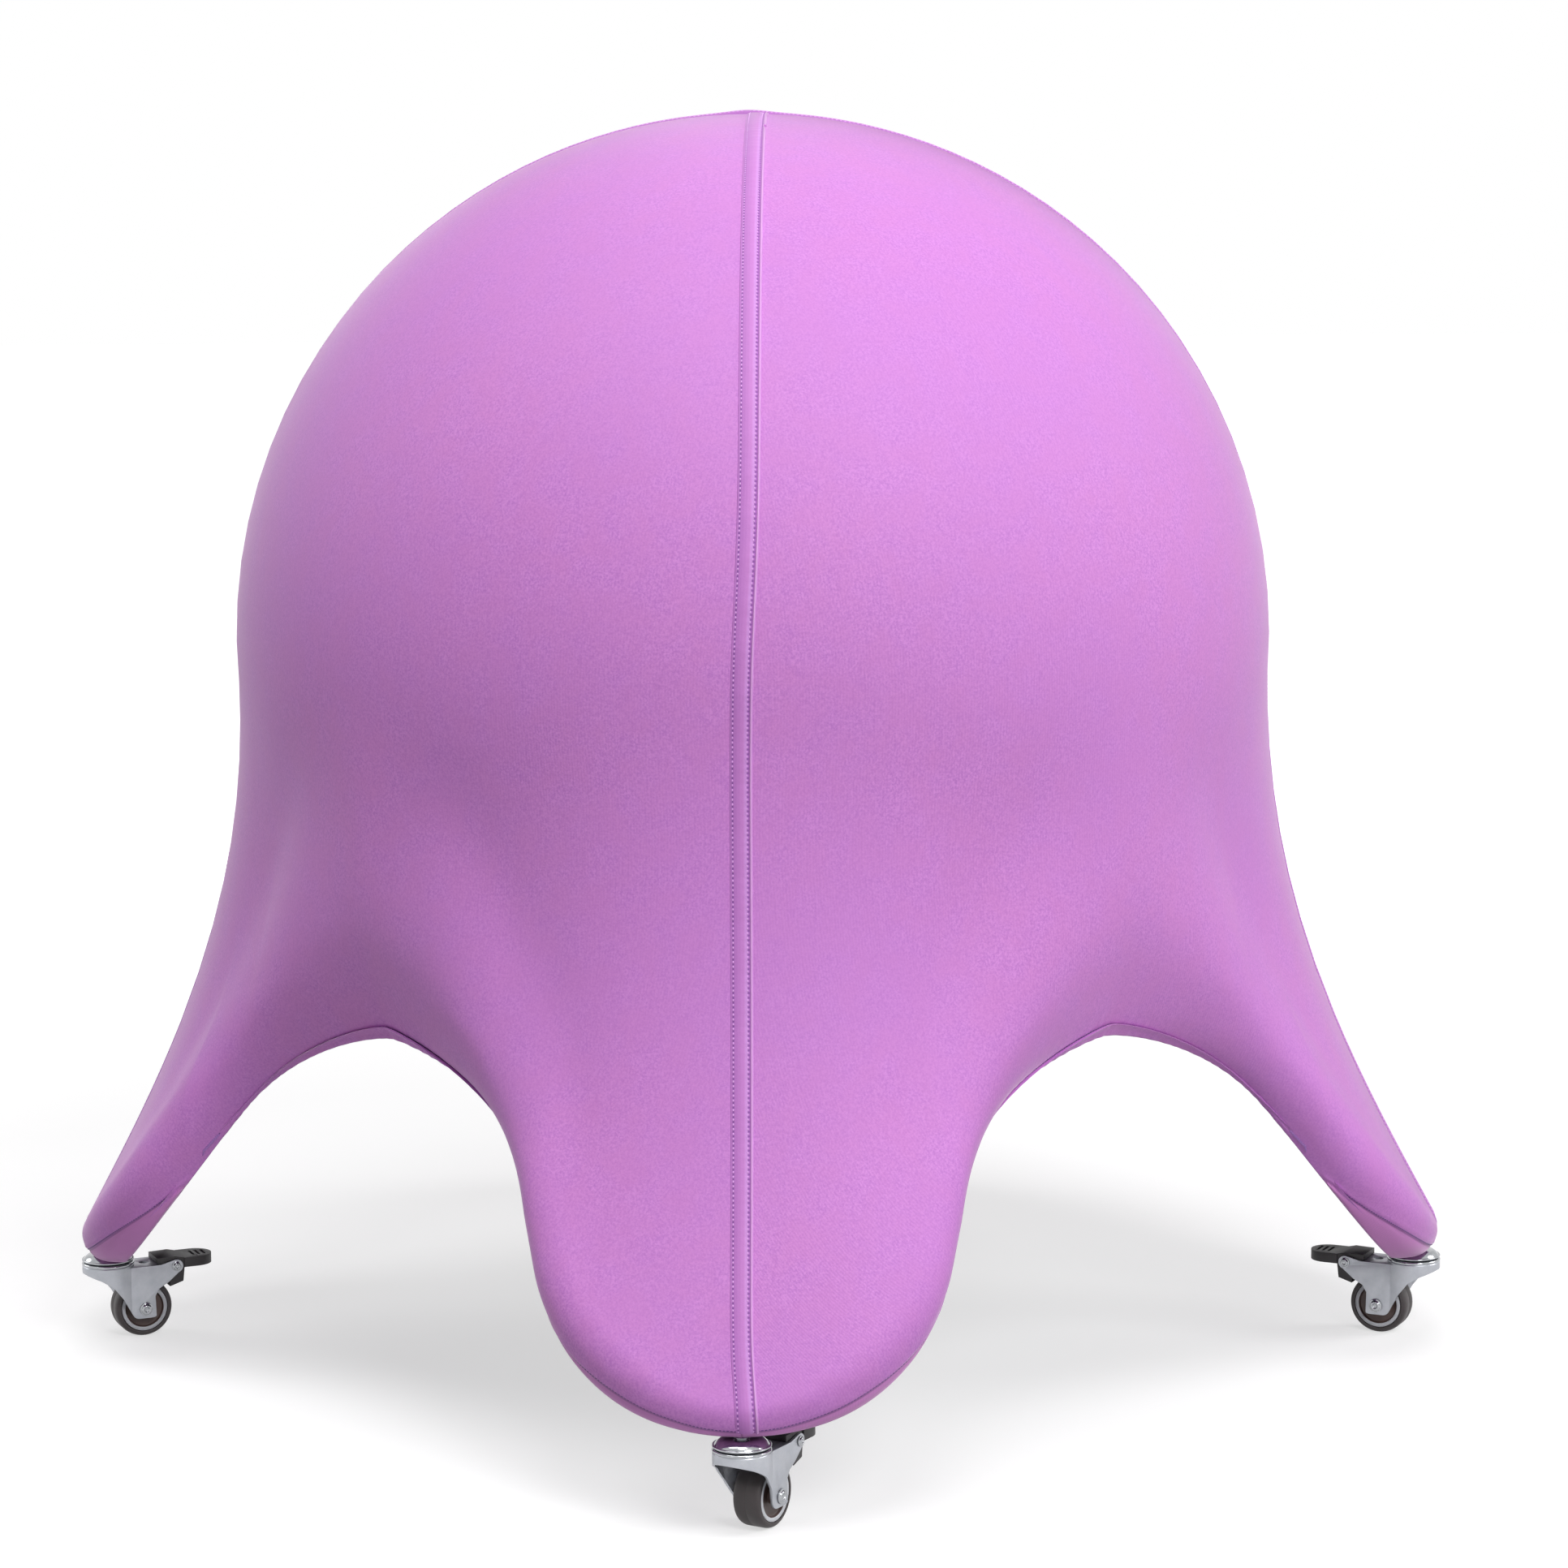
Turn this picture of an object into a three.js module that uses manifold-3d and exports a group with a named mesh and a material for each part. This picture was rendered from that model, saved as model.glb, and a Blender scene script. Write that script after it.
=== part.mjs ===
// Balance ball chair: an exercise ball on a hidden steel frame with four
// hoop-shaped legs, a stretched cover over ball and hoops, and a braked swivel
// caster under each leg. Millimetres, +Z up, the floor at z = 0, front at -Y.
import * as THREE from 'three';
import { mergeVertices } from 'three/addons/utils/BufferGeometryUtils.js';
import Module from 'manifold-3d';

const wasm = await Module();
wasm.setup();

// Driving dimensions
const legCount = 4;
const ballDiameter = 548;
const ballWall = 2;
const ballCentreHeight = 388.6;
const casterCircleRadius = 358.5;
const tubeDiameter = 18;
const ringHeight = 222;
const coverThickness = 1.2;
const clearance = 0.3;
const overrun = 1;

// Sizes that follow from them
const ballRadius = ballDiameter / 2;
const tubeRadius = tubeDiameter / 2;
const legAngle = 2 * Math.PI / legCount;
const legNames = ['right', 'back', 'left', 'front'];
const panelNames = ['back_right', 'back_left', 'front_left', 'front_right'];

// Colours and finishes read from the photograph
const finishes = {
  fabric: { color: '#b469c8', roughness: 0.85, metalness: 0 },
  vinyl: { color: '#8d949c', roughness: 0.45, metalness: 0 },
  steel: { color: '#2b2c30', roughness: 0.5, metalness: 0.4 },
  chrome: { color: '#cfd2d6', roughness: 0.15, metalness: 1 },
  zinc: { color: '#aab0ba', roughness: 0.4, metalness: 0.9 },
  tyre: { color: '#3b3534', roughness: 0.7, metalness: 0 },
  hub: { color: '#b9bcc2', roughness: 0.45, metalness: 0 },
  plastic: { color: '#1d1a1c', roughness: 0.55, metalness: 0 },
};

const part = new THREE.Group();

function addMesh(parent, name, geometry, finish) {
  const material = new THREE.MeshStandardMaterial(finishes[finish]);
  const mesh = new THREE.Mesh(geometry, material);
  mesh.name = name;
  parent.add(mesh);
  return mesh;
}

// A geometry with its shared corners merged, its empty triangles dropped and
// its faces pointing out.
function closedGeometry(source) {
  const bare = source.clone();
  bare.deleteAttribute('normal');
  bare.deleteAttribute('uv');
  const merged = mergeVertices(bare);
  const place = merged.getAttribute('position');
  const corners = [];
  const a = new THREE.Vector3();
  const b = new THREE.Vector3();
  const c = new THREE.Vector3();
  let volume = 0;
  for (let k = 0; k < merged.index.count; k += 3) {
    const trio = [0, 1, 2].map((step) => merged.index.getX(k + step));
    if (new Set(trio).size < trio.length) {
      continue;
    }
    a.fromBufferAttribute(place, trio[0]);
    b.fromBufferAttribute(place, trio[1]);
    c.fromBufferAttribute(place, trio[2]);
    volume += a.dot(b.cross(c));
    corners.push(trio);
  }
  if (volume < 0) {
    corners.forEach((trio) => trio.reverse());
  }
  merged.setIndex(corners.flat());
  return merged;
}

function solid(geometry) {
  const closed = closedGeometry(geometry);
  return new wasm.Manifold(new wasm.Mesh({
    numProp: 3,
    vertProperties: new Float32Array(closed.getAttribute('position').array),
    triVerts: new Uint32Array(closed.index.array),
  }));
}

function geometryOf(manifold) {
  const mesh = manifold.getMesh();
  const geometry = new THREE.BufferGeometry();
  geometry.setAttribute('position', new THREE.BufferAttribute(mesh.vertProperties, mesh.numProp));
  geometry.setIndex(new THREE.BufferAttribute(mesh.triVerts, 1));
  return geometry;
}

// A turned solid about Z from points of radius and height.
function turned(points, segments) {
  const profile = points.map(([radius, height]) => new THREE.Vector2(radius, height));
  return closedGeometry(new THREE.LatheGeometry(profile, segments).rotateX(Math.PI / 2));
}

// The same about Y, with a flat between two corners turned to the floor.
function turnedWheel(points, segments) {
  const profile = points.map(([radius, width]) => new THREE.Vector2(radius, width));
  const flatTurn = Math.PI / segments;
  return closedGeometry(new THREE.LatheGeometry(profile, segments).rotateY(flatTurn));
}

function uprightCylinder(radius, bottom, top, segments) {
  const middle = (bottom + top) / 2;
  const geometry = new THREE.CylinderGeometry(radius, radius, top - bottom, segments);
  return geometry.rotateX(Math.PI / 2).translate(0, 0, middle);
}

function crossCylinder(radius, length, x, z, segments) {
  return new THREE.CylinderGeometry(radius, radius, length, segments).translate(x, 0, z);
}

// Braked swivel caster, with its wheel trailing to +X under the swivel axis.
// The heights run from the floor, the lengths from the swivel axis.
const wheel = { diameter: 32, width: 15, crownWidth: 8, trail: 18, hubDiameter: 25.6 };
const rim = { width: 14.4, ring: 1.9, webWidth: 11, bossRadius: 4.5, bossWidth: 16 };
const axle = { radius: 2.5, headRadius: 3.7, headHeight: 1.4, tipShare: 0.6 };
const fork = {
  wall: 1.3, halfWidth: 10.7, headRadius: 14.3, bendAt: 9.9, crownHeight: 40,
  crownEnd: 27, pivotReach: 35.9, pivotHeight: 38.4, earRadius: 3.7, headHeight: 43.2,
  shoulderHeight: 41, shoulderRadius: 12.6, crownHoleRadius: 3, crownHoleAt: 20.2,
};
const cap = { radius: 14.3, rimThickness: 1.1, gap: 0.6, domeRadius: 10.2, height: 47.4 };
const kingpin = { radius: 3, flangeRadius: 5, flangeThickness: 1.3 };
const stem = { radius: 4, depthAboveTube: 5 };
const pedal = {
  halfWidth: 9, padHalfWidth: 9.8, padStart: 41, reach: 58.5, thickness: 5.3, rise: 4,
  blockStart: 25.5, blockHeight: 43.6, travel: 25, ribCount: 3, ribDepth: 0.8, ribWidth: 1.6,
};
const pin = { radius: 1.6, headRadius: 2.7, headHeight: 1.1 };
const wheelRadius = wheel.diameter / 2;
const wheelSegments = 24;
const hubSegments = 14;
const headSegments = 16;
const pinSegments = 8;

function tyreGeometry() {
  const flatShare = Math.cos(Math.PI / wheelSegments);
  const outer = wheelRadius / flatShare;
  const bore = (wheel.hubDiameter / 2 + clearance) / flatShare;
  const half = wheel.width / 2;
  const crown = wheel.crownWidth / 2;
  const shoulderShare = 0.62;
  const shoulder = THREE.MathUtils.lerp(bore, outer, shoulderShare);
  const points = [[bore, -half], [shoulder, -half], [outer, -crown]];
  points.push([outer, crown], [shoulder, half], [bore, half], [bore, -half]);
  return turnedWheel(points, wheelSegments);
}

function hubGeometry() {
  const outer = wheel.hubDiameter / 2;
  const bore = axle.radius + clearance;
  const ringInner = outer - rim.ring;
  const half = rim.width / 2;
  const web = rim.webWidth / 2;
  const boss = rim.bossWidth / 2;
  const side = [[bore, boss], [rim.bossRadius, boss], [rim.bossRadius, web]];
  side.push([ringInner, web], [ringInner, half], [outer, half]);
  const mirrored = side.map(([radius, width]) => [radius, -width]).reverse();
  return turnedWheel([...side, ...mirrored, side[0]], hubSegments);
}

// A rivet along Y: a shank with a head outside each ear.
function rivetGeometry(radius, headRadius, headHeight) {
  const grip = fork.halfWidth + clearance / 2;
  const tip = grip + headHeight;
  const side = [[0, tip], [headRadius * axle.tipShare, tip], [headRadius, grip], [radius, grip]];
  const mirrored = side.map(([r, width]) => [r, -width]).reverse();
  return turnedWheel([...side, ...mirrored], pinSegments);
}

// The stamping seen from above: flat ears that flare out to the round head.
function forkPlan(inset, rearEnd) {
  const width = fork.halfWidth - inset;
  const radius = fork.headRadius - inset;
  const cornersToSkirt = 3;
  const turn = 2 * Math.PI * cornersToSkirt / headSegments;
  const plan = new THREE.Shape();
  plan.moveTo(rearEnd, -width);
  plan.lineTo(fork.bendAt, -width);
  plan.lineTo(radius * Math.cos(turn), -radius * Math.sin(turn));
  plan.lineTo(radius * Math.cos(turn), radius * Math.sin(turn));
  plan.lineTo(fork.bendAt, width);
  plan.lineTo(rearEnd, width);
  plan.closePath();
  return plan;
}

// The stamping seen from the side: skirt, ears and the lug for the brake. The
// shares are of the pivot's reach and of the crown's height.
function forkOutline() {
  const skirtShares = [[-0.42, 0.945], [-0.2, 0.865], [-0.03, 0.775], [0.13, 0.59], [0.3, 0.32]];
  const footShares = [0.33, 0.4, 0.58, 0.66];
  const rearShares = [[0.66, 0.3], [0.65, 0.575], [0.72, 0.675], [0.86, 0.745]];
  const earTurnShares = [-0.4, 0.55];
  const height = fork.crownHeight;
  const top = fork.headHeight + overrun;
  const front = -fork.headRadius - overrun;
  const foot = wheelRadius - axle.headRadius - fork.wall;
  const [frontCorner, frontEnd, rearStart, rearCorner] = footShares.map(
    (share) => fork.pivotReach * share);
  const skirt = skirtShares.map(([along, up]) => [fork.pivotReach * along, height * up]);
  const rear = rearShares.map(([along, up]) => [fork.pivotReach * along, height * up]);
  const [earStart, earEnd] = earTurnShares.map((share) => share * Math.PI);
  const outline = new THREE.Shape();
  outline.moveTo(front, top);
  outline.lineTo(front, skirt[0][1]);
  skirt.forEach(([x, z]) => outline.lineTo(x, z));
  outline.quadraticCurveTo(frontCorner, foot, frontEnd, foot);
  outline.lineTo(rearStart, foot);
  outline.quadraticCurveTo(rearCorner, foot, rear[0][0], rear[0][1]);
  rear.slice(1).forEach(([x, z]) => outline.lineTo(x, z));
  outline.absarc(fork.pivotReach, fork.pivotHeight, fork.earRadius, earStart, earEnd, false);
  outline.lineTo(fork.crownEnd, height);
  outline.lineTo(fork.headRadius, height);
  outline.lineTo(fork.headRadius, top);
  outline.closePath();
  return outline;
}

function forkGeometry() {
  const rearEnd = fork.pivotReach + fork.earRadius + overrun;
  const top = fork.pivotHeight + fork.earRadius + overrun;
  const bottom = fork.crownHeight - fork.wall;
  const innerHead = fork.headRadius - fork.wall;
  const innerShoulder = fork.shoulderRadius - fork.wall;
  const upright = (plan, depth) => new THREE.ExtrudeGeometry(plan, { depth, bevelEnabled: false });
  const block = upright(forkPlan(0, rearEnd), fork.crownHeight);
  const lugLength = rearEnd - fork.crownEnd;
  const lugs = new THREE.BoxGeometry(lugLength, 2 * fork.halfWidth, top);
  lugs.translate(fork.crownEnd + lugLength / 2, 0, top / 2);
  const head = turned([
    [0, 0], [fork.headRadius, 0], [fork.headRadius, fork.shoulderHeight],
    [fork.shoulderRadius, fork.headHeight], [0, fork.headHeight],
  ], headSegments);
  const side = new THREE.ExtrudeGeometry(forkOutline(), {
    depth: 2 * (fork.headRadius + overrun), bevelEnabled: false, curveSegments: 4,
  }).rotateX(Math.PI / 2).translate(0, fork.headRadius + overrun, 0);
  const channel = upright(forkPlan(fork.wall, rearEnd + overrun), bottom + overrun);
  channel.translate(0, 0, -overrun);
  const headVoid = turned([
    [0, -overrun], [innerHead, -overrun], [innerHead, bottom], [innerShoulder, bottom],
    [innerShoulder, fork.headHeight - fork.wall], [0, fork.headHeight - fork.wall],
  ], headSegments);
  const tailLength = 2 * (rearEnd - fork.crownEnd);
  const tail = new THREE.BoxGeometry(tailLength, 2 * (fork.halfWidth - fork.wall), 2 * top);
  tail.translate(fork.crownEnd + tailLength / 2, 0, 0);
  const through = 4 * fork.halfWidth;
  const axleHole = crossCylinder(
    axle.radius + clearance, through, wheel.trail, wheelRadius, pinSegments);
  const pinHole = crossCylinder(
    pin.radius + clearance, through, fork.pivotReach, fork.pivotHeight, pinSegments);
  const kingHole = uprightCylinder(
    kingpin.radius + clearance, 0, 2 * fork.headHeight, pinSegments);
  const crownHole = uprightCylinder(fork.crownHoleRadius, 0, top, pinSegments);
  crownHole.translate(fork.crownHoleAt, 0, 0);
  let body = solid(block).add(solid(lugs)).add(solid(head)).intersect(solid(side));
  for (const cut of [channel, headVoid, tail, axleHole, pinHole, kingHole, crownHole]) {
    body = body.subtract(solid(cut));
  }
  return geometryOf(body);
}

// The brake lever: a body between the ears with a raised block over the crown,
// a ribbed pad for the foot and a shoe that meets the tyre when it is down.
function pedalGeometry() {
  const travel = THREE.MathUtils.degToRad(pedal.travel);
  const pivot = new THREE.Vector2(fork.pivotReach, fork.pivotHeight);
  const hub = new THREE.Vector2(wheel.trail, wheelRadius);
  const touchTurnShares = [0.3, 0.22];
  const touchRadius = wheelRadius / Math.cos(Math.PI / wheelSegments) + 2 * clearance;
  const shoe = touchTurnShares.map((share) => {
    const turn = share * Math.PI;
    const place = new THREE.Vector2(Math.cos(turn), Math.sin(turn)).multiplyScalar(touchRadius);
    return place.add(hub).rotateAround(pivot, travel);
  });
  const padTop = fork.pivotHeight + pedal.rise;
  const crownGap = fork.crownHeight + clearance;
  const lever = new THREE.Shape();
  lever.moveTo(pedal.blockStart, crownGap);
  lever.lineTo(fork.crownEnd + clearance, crownGap);
  lever.lineTo(fork.pivotReach - fork.earRadius, fork.pivotHeight - fork.earRadius);
  lever.lineTo(shoe[0].x, shoe[0].y);
  lever.lineTo(pedal.padStart - overrun, shoe[1].y + fork.earRadius);
  lever.lineTo(pedal.padStart, fork.pivotHeight - clearance);
  lever.lineTo(pedal.padStart, padTop);
  lever.lineTo(fork.pivotReach, pedal.blockHeight);
  lever.lineTo(pedal.blockStart, pedal.blockHeight - clearance);
  lever.closePath();
  const body = new THREE.ExtrudeGeometry(lever, {
    depth: 2 * pedal.halfWidth, bevelEnabled: false,
  }).rotateX(Math.PI / 2).translate(0, pedal.halfWidth, 0);
  const pad = new THREE.Shape();
  const round = pedal.padHalfWidth;
  pad.moveTo(pedal.padStart - clearance, -round);
  pad.lineTo(pedal.reach - round, -round);
  pad.absarc(pedal.reach - round, 0, round, -Math.PI / 2, Math.PI / 2, false);
  pad.lineTo(pedal.padStart - clearance, round);
  pad.closePath();
  const plate = new THREE.ExtrudeGeometry(pad, {
    depth: pedal.thickness, bevelEnabled: false, curveSegments: 8,
  }).translate(0, 0, padTop - pedal.thickness);
  let lump = solid(body).add(solid(plate));
  for (let k = 0; k < pedal.ribCount; k++) {
    const pitch = 2 * pedal.ribWidth;
    const groove = new THREE.BoxGeometry(pedal.ribWidth, round, 2 * pedal.ribDepth);
    groove.translate(pedal.padStart + (k + 2) * pitch, 0, padTop);
    lump = lump.subtract(solid(groove));
  }
  const bore = crossCylinder(pin.radius + clearance, 4 * round, pivot.x, pivot.y, pinSegments);
  return geometryOf(lump.subtract(solid(bore)));
}

// The part of the head that stays with the leg: riveted pin, cap and stem.
function stemGeometry(top) {
  const under = fork.headHeight - fork.wall - clearance;
  const rimBottom = fork.headHeight + cap.gap;
  const rimTop = rimBottom + cap.rimThickness;
  return turned([
    [0, under - kingpin.flangeThickness],
    [kingpin.flangeRadius, under - kingpin.flangeThickness],
    [kingpin.flangeRadius, under], [kingpin.radius, under], [kingpin.radius, rimBottom],
    [cap.radius, rimBottom], [cap.radius, rimTop], [cap.domeRadius, cap.height - clearance],
    [stem.radius, cap.height], [stem.radius, top], [0, top],
  ], headSegments);
}

// The steel frame. Hoop: the leg's U lies in a plane that leans in to the ball.
const hoop = {
  lean: THREE.MathUtils.degToRad(37.6), bendRadius: 87, splay: THREE.MathUtils.degToRad(7),
  tipHeight: 60.9, sideLength: 92, topBend: 26,
};
const down = new THREE.Vector3(Math.sin(hoop.lean), 0, -Math.cos(hoop.lean));
const inward = new THREE.Vector3(-Math.cos(hoop.lean), 0, -Math.sin(hoop.lean));
const across = new THREE.Vector3(0, 1, 0);
const hoopTip = new THREE.Vector3(casterCircleRadius, 0, hoop.tipHeight);
const hoopTurn = Math.PI / 2 - hoop.splay;

// The way out from the bend's centre, and along the tube, at an angle.
function outAt(turn) {
  return down.clone().multiplyScalar(Math.cos(turn)).addScaledVector(across, Math.sin(turn));
}

function alongAt(turn) {
  return across.clone().multiplyScalar(Math.cos(turn)).addScaledVector(down, -Math.sin(turn));
}

function hoopPoint(turn) {
  const centre = hoopTip.clone().addScaledVector(down, -hoop.bendRadius);
  return centre.addScaledVector(outAt(turn), hoop.bendRadius);
}

// Seat ring: its tube touches the ball on a circle below the equator.
const ringSegments = 24;
const tubeSides = 8;
const ringDrop = ballCentreHeight - ringHeight;
const ringReach = ballRadius + clearance + tubeRadius;
const ringRadius = Math.sqrt(ringReach ** 2 - ringDrop ** 2) / Math.cos(Math.PI / ringSegments);

// Half of the hoop's centre line, from the tip to inside the ring.
function hoopHalf(side) {
  const corner = hoopPoint(hoopTurn).addScaledVector(alongAt(hoopTurn), hoop.sideLength);
  const end = new THREE.Vector3(Math.sqrt(ringRadius ** 2 - corner.y ** 2), corner.y, ringHeight);
  const before = corner.clone().addScaledVector(alongAt(hoopTurn), -hoop.topBend);
  const inAgain = corner.clone().lerp(end, hoop.topBend / corner.distanceTo(end));
  const points = [];
  const bendSteps = 7;
  for (let k = 0; k <= bendSteps; k++) {
    points.push(hoopPoint(hoopTurn * k / bendSteps));
  }
  const sideSteps = 2;
  const sideStart = points[bendSteps];
  for (let k = 1; k <= sideSteps; k++) {
    points.push(sideStart.clone().lerp(before, k / sideSteps));
  }
  const topSteps = 3;
  const bend = new THREE.QuadraticBezierCurve3(before, corner, inAgain);
  points.push(...bend.getPoints(topSteps).slice(1), end);
  return points.map((point) => point.setY(point.y * side));
}

function hoopLine() {
  return [...hoopHalf(-1).slice(1).reverse(), ...hoopHalf(1)];
}

class PointPath extends THREE.Curve {
  constructor(points) {
    super();
    this.points = points;
  }

  getPoint(share) {
    const place = share * (this.points.length - 1);
    const step = Math.min(Math.floor(place), this.points.length - 2);
    return this.points[step].clone().lerp(this.points[step + 1], place - step);
  }

  getSpacedPoints() {
    return this.points.map((point) => point.clone());
  }
}

function tubeSection() {
  const corners = [];
  for (let k = 0; k < tubeSides; k++) {
    const turn = 2 * Math.PI * k / tubeSides;
    corners.push(new THREE.Vector2(Math.cos(turn), Math.sin(turn)).multiplyScalar(tubeRadius));
  }
  return new THREE.Shape(corners);
}

function ringGeometry(radius) {
  return closedGeometry(new THREE.TorusGeometry(ringRadius, radius, tubeSides, ringSegments))
    .translate(0, 0, ringHeight);
}

function hoopGeometry() {
  const points = hoopLine();
  const tube = new THREE.ExtrudeGeometry(tubeSection(), {
    steps: points.length - 1, bevelEnabled: false, extrudePath: new PointPath(points),
  });
  const socket = uprightCylinder(
    stem.radius + clearance, 0, hoop.tipHeight + stem.depthAboveTube + clearance, headSegments);
  socket.translate(casterCircleRadius, 0, 0);
  const coped = solid(tube).subtract(solid(ringGeometry(tubeRadius + clearance)));
  return geometryOf(coped.subtract(solid(socket)));
}

// Ball: a hollow shell with a valve plug at its lowest point.
const valve = { radius: 4, flangeRadius: 9, flangeThickness: 1.5 };

function ballGeometry() {
  const rings = 10;
  const hole = valve.radius + clearance;
  const profile = [];
  for (const radius of [ballRadius, ballRadius - ballWall]) {
    const wallPoints = [[hole, -Math.sqrt(radius ** 2 - hole ** 2)]];
    for (let k = 1; k <= rings; k++) {
      const turn = Math.PI * k / rings;
      wallPoints.push([k < rings ? radius * Math.sin(turn) : 0, -radius * Math.cos(turn)]);
    }
    profile.push(wallPoints);
  }
  const [outside, inside] = profile;
  const loop = [...inside.reverse(), ...outside];
  return turned(loop, ringSegments).translate(0, 0, ballCentreHeight);
}

function plugGeometry() {
  const seat = ballCentreHeight - ballRadius - clearance;
  const top = seat + ballWall + 2 * clearance;
  const bottom = seat - valve.flangeThickness;
  return turned([
    [0, bottom], [valve.flangeRadius, bottom], [valve.flangeRadius, seat],
    [valve.radius, seat], [valve.radius, top], [0, top],
  ], headSegments);
}

// Cover: one stretched panel between two legs. Its rows run from the top of
// the ball to the hem, its columns from one leg's middle to the next one's.
// Its two skins are split along the same diagonals, so that its wall is even.
const cover = {
  ballLift: 2.3, tubeLift: 2.8, hemReach: 18, hemDropTip: 1.2, hemDropSide: 8.5,
  hemSide: 48, archRadius: 253, archHeight: 203.2, archLeave: 49, archTop: 15,
};
const crossPull = 16;
const wrapPull = 0.3;
const bendColumns = 6;
const sideColumns = 1;
const archColumns = 5;
const passes = 2400;
const loosePasses = 1200;
const looseness = 1.4;

// Row lengths from the top down: long on the ball, and shorter step by step
// towards the rows that wrap round the tube to the hem.
const longRow = 72;
const wrapRow = 3;
const longRows = 9;
const gradedRows = 3;
const wrapRows = 7;
const growth = (longRow / wrapRow) ** (1 / (gradedRows + 1));
const rowLengths = Array(longRows).fill(longRow);
for (let k = 1; k <= gradedRows; k++) {
  rowLengths.push(longRow / growth ** k);
}
rowLengths.push(...Array(wrapRows).fill(wrapRow));

function mirrored(point, azimuth) {
  const cosine = Math.cos(2 * azimuth);
  const sine = Math.sin(2 * azimuth);
  const { x, y, z } = point;
  return new THREE.Vector3(x * cosine + y * sine, x * sine - y * cosine, z);
}

// The hem from the tip of a leg to the top of the arch beside it.
function halfHem() {
  const points = [];
  const settledShare = 2 / 3;
  for (let k = 0; k <= bendColumns; k++) {
    const turn = hoopTurn * k / bendColumns;
    const blend = THREE.MathUtils.smoothstep(k / bendColumns, 0, settledShare);
    const drop = THREE.MathUtils.lerp(cover.hemDropTip, cover.hemDropSide, blend);
    const place = hoopPoint(turn).addScaledVector(inward, cover.hemReach);
    points.push(place.addScaledVector(outAt(turn), drop));
  }
  const along = alongAt(hoopTurn);
  const bendEnd = points[bendColumns];
  for (let k = 1; k <= sideColumns; k++) {
    points.push(bendEnd.clone().addScaledVector(along, cover.hemSide * k / sideColumns));
  }
  const leave = points[points.length - 1];
  const half = legAngle / 2;
  const top = new THREE.Vector3(Math.cos(half), Math.sin(half), 0);
  top.multiplyScalar(cover.archRadius).setZ(cover.archHeight);
  const level = new THREE.Vector3(Math.sin(half), -Math.cos(half), 0);
  const arch = new THREE.CubicBezierCurve3(
    leave, leave.clone().addScaledVector(along, cover.archLeave),
    top.clone().addScaledVector(level, cover.archTop), top);
  points.push(...arch.getPoints(archColumns).slice(1));
  return points;
}

// A first guess of one column: over the ball, then outside and round the tube.
function firstColumn(column, hemPoint) {
  const rise = ballRadius + cover.ballLift;
  const azimuth = Math.atan2(hemPoint.y, hemPoint.x);
  const centre = new THREE.Vector3(0, 0, ballCentreHeight);
  const heading = new THREE.Vector3(Math.cos(azimuth), Math.sin(azimuth), 0);
  const equator = centre.clone().addScaledVector(heading, rise + tubeRadius);
  const stops = [equator];
  if (column <= bendColumns + sideColumns) {
    const turn = hoopTurn * Math.min(column, bendColumns) / bendColumns;
    const tube = hoopPoint(turn);
    if (column > bendColumns) {
      tube.addScaledVector(alongAt(hoopTurn), cover.hemSide);
    }
    const wrap = tubeRadius + cover.tubeLift;
    stops.push(tube.clone().addScaledVector(inward, -wrap));
    stops.push(tube.clone().addScaledVector(outAt(turn), wrap));
  }
  stops.push(hemPoint);
  const lengths = [rise * Math.PI / 2];
  for (let k = 1; k < stops.length; k++) {
    lengths.push(stops[k].distanceTo(stops[k - 1]));
  }
  const total = lengths.reduce((sum, length) => sum + length, 0);
  const rowTotal = rowLengths.reduce((sum, length) => sum + length, 0);
  const points = [];
  let share = 0;
  for (let row = 0; row <= rowLengths.length; row++) {
    let rest = share * total;
    let leg = 0;
    while (leg < lengths.length - 1 && rest > lengths[leg]) {
      rest -= lengths[leg];
      leg++;
    }
    if (leg === 0) {
      const turn = rest / rise;
      const point = centre.clone().addScaledVector(heading, rise * Math.sin(turn));
      points.push(point.setZ(ballCentreHeight + rise * Math.cos(turn)));
    } else {
      points.push(stops[leg - 1].clone().lerp(stops[leg], Math.min(1, rest / lengths[leg])));
    }
    share += (rowLengths[row] ?? 0) / rowTotal;
  }
  points[rowLengths.length] = hemPoint.clone();
  return points;
}

function pushOffBall(point) {
  const least = ballRadius + cover.ballLift;
  const offset = point.clone().setZ(point.z - ballCentreHeight);
  if (offset.length() < least) {
    offset.setLength(least);
    point.copy(offset.setZ(offset.z + ballCentreHeight));
  }
}

function pushOffTube(point, line, least) {
  const nearest = new THREE.Vector3();
  const place = new THREE.Vector3();
  let gap = Infinity;
  for (let k = 1; k < line.length; k++) {
    new THREE.Line3(line[k - 1], line[k]).closestPointToPoint(point, true, place);
    const distance = place.distanceTo(point);
    if (distance < gap) {
      gap = distance;
      nearest.copy(place);
    }
  }
  if (gap < least) {
    point.sub(nearest).setLength(least).add(nearest);
  }
}

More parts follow.
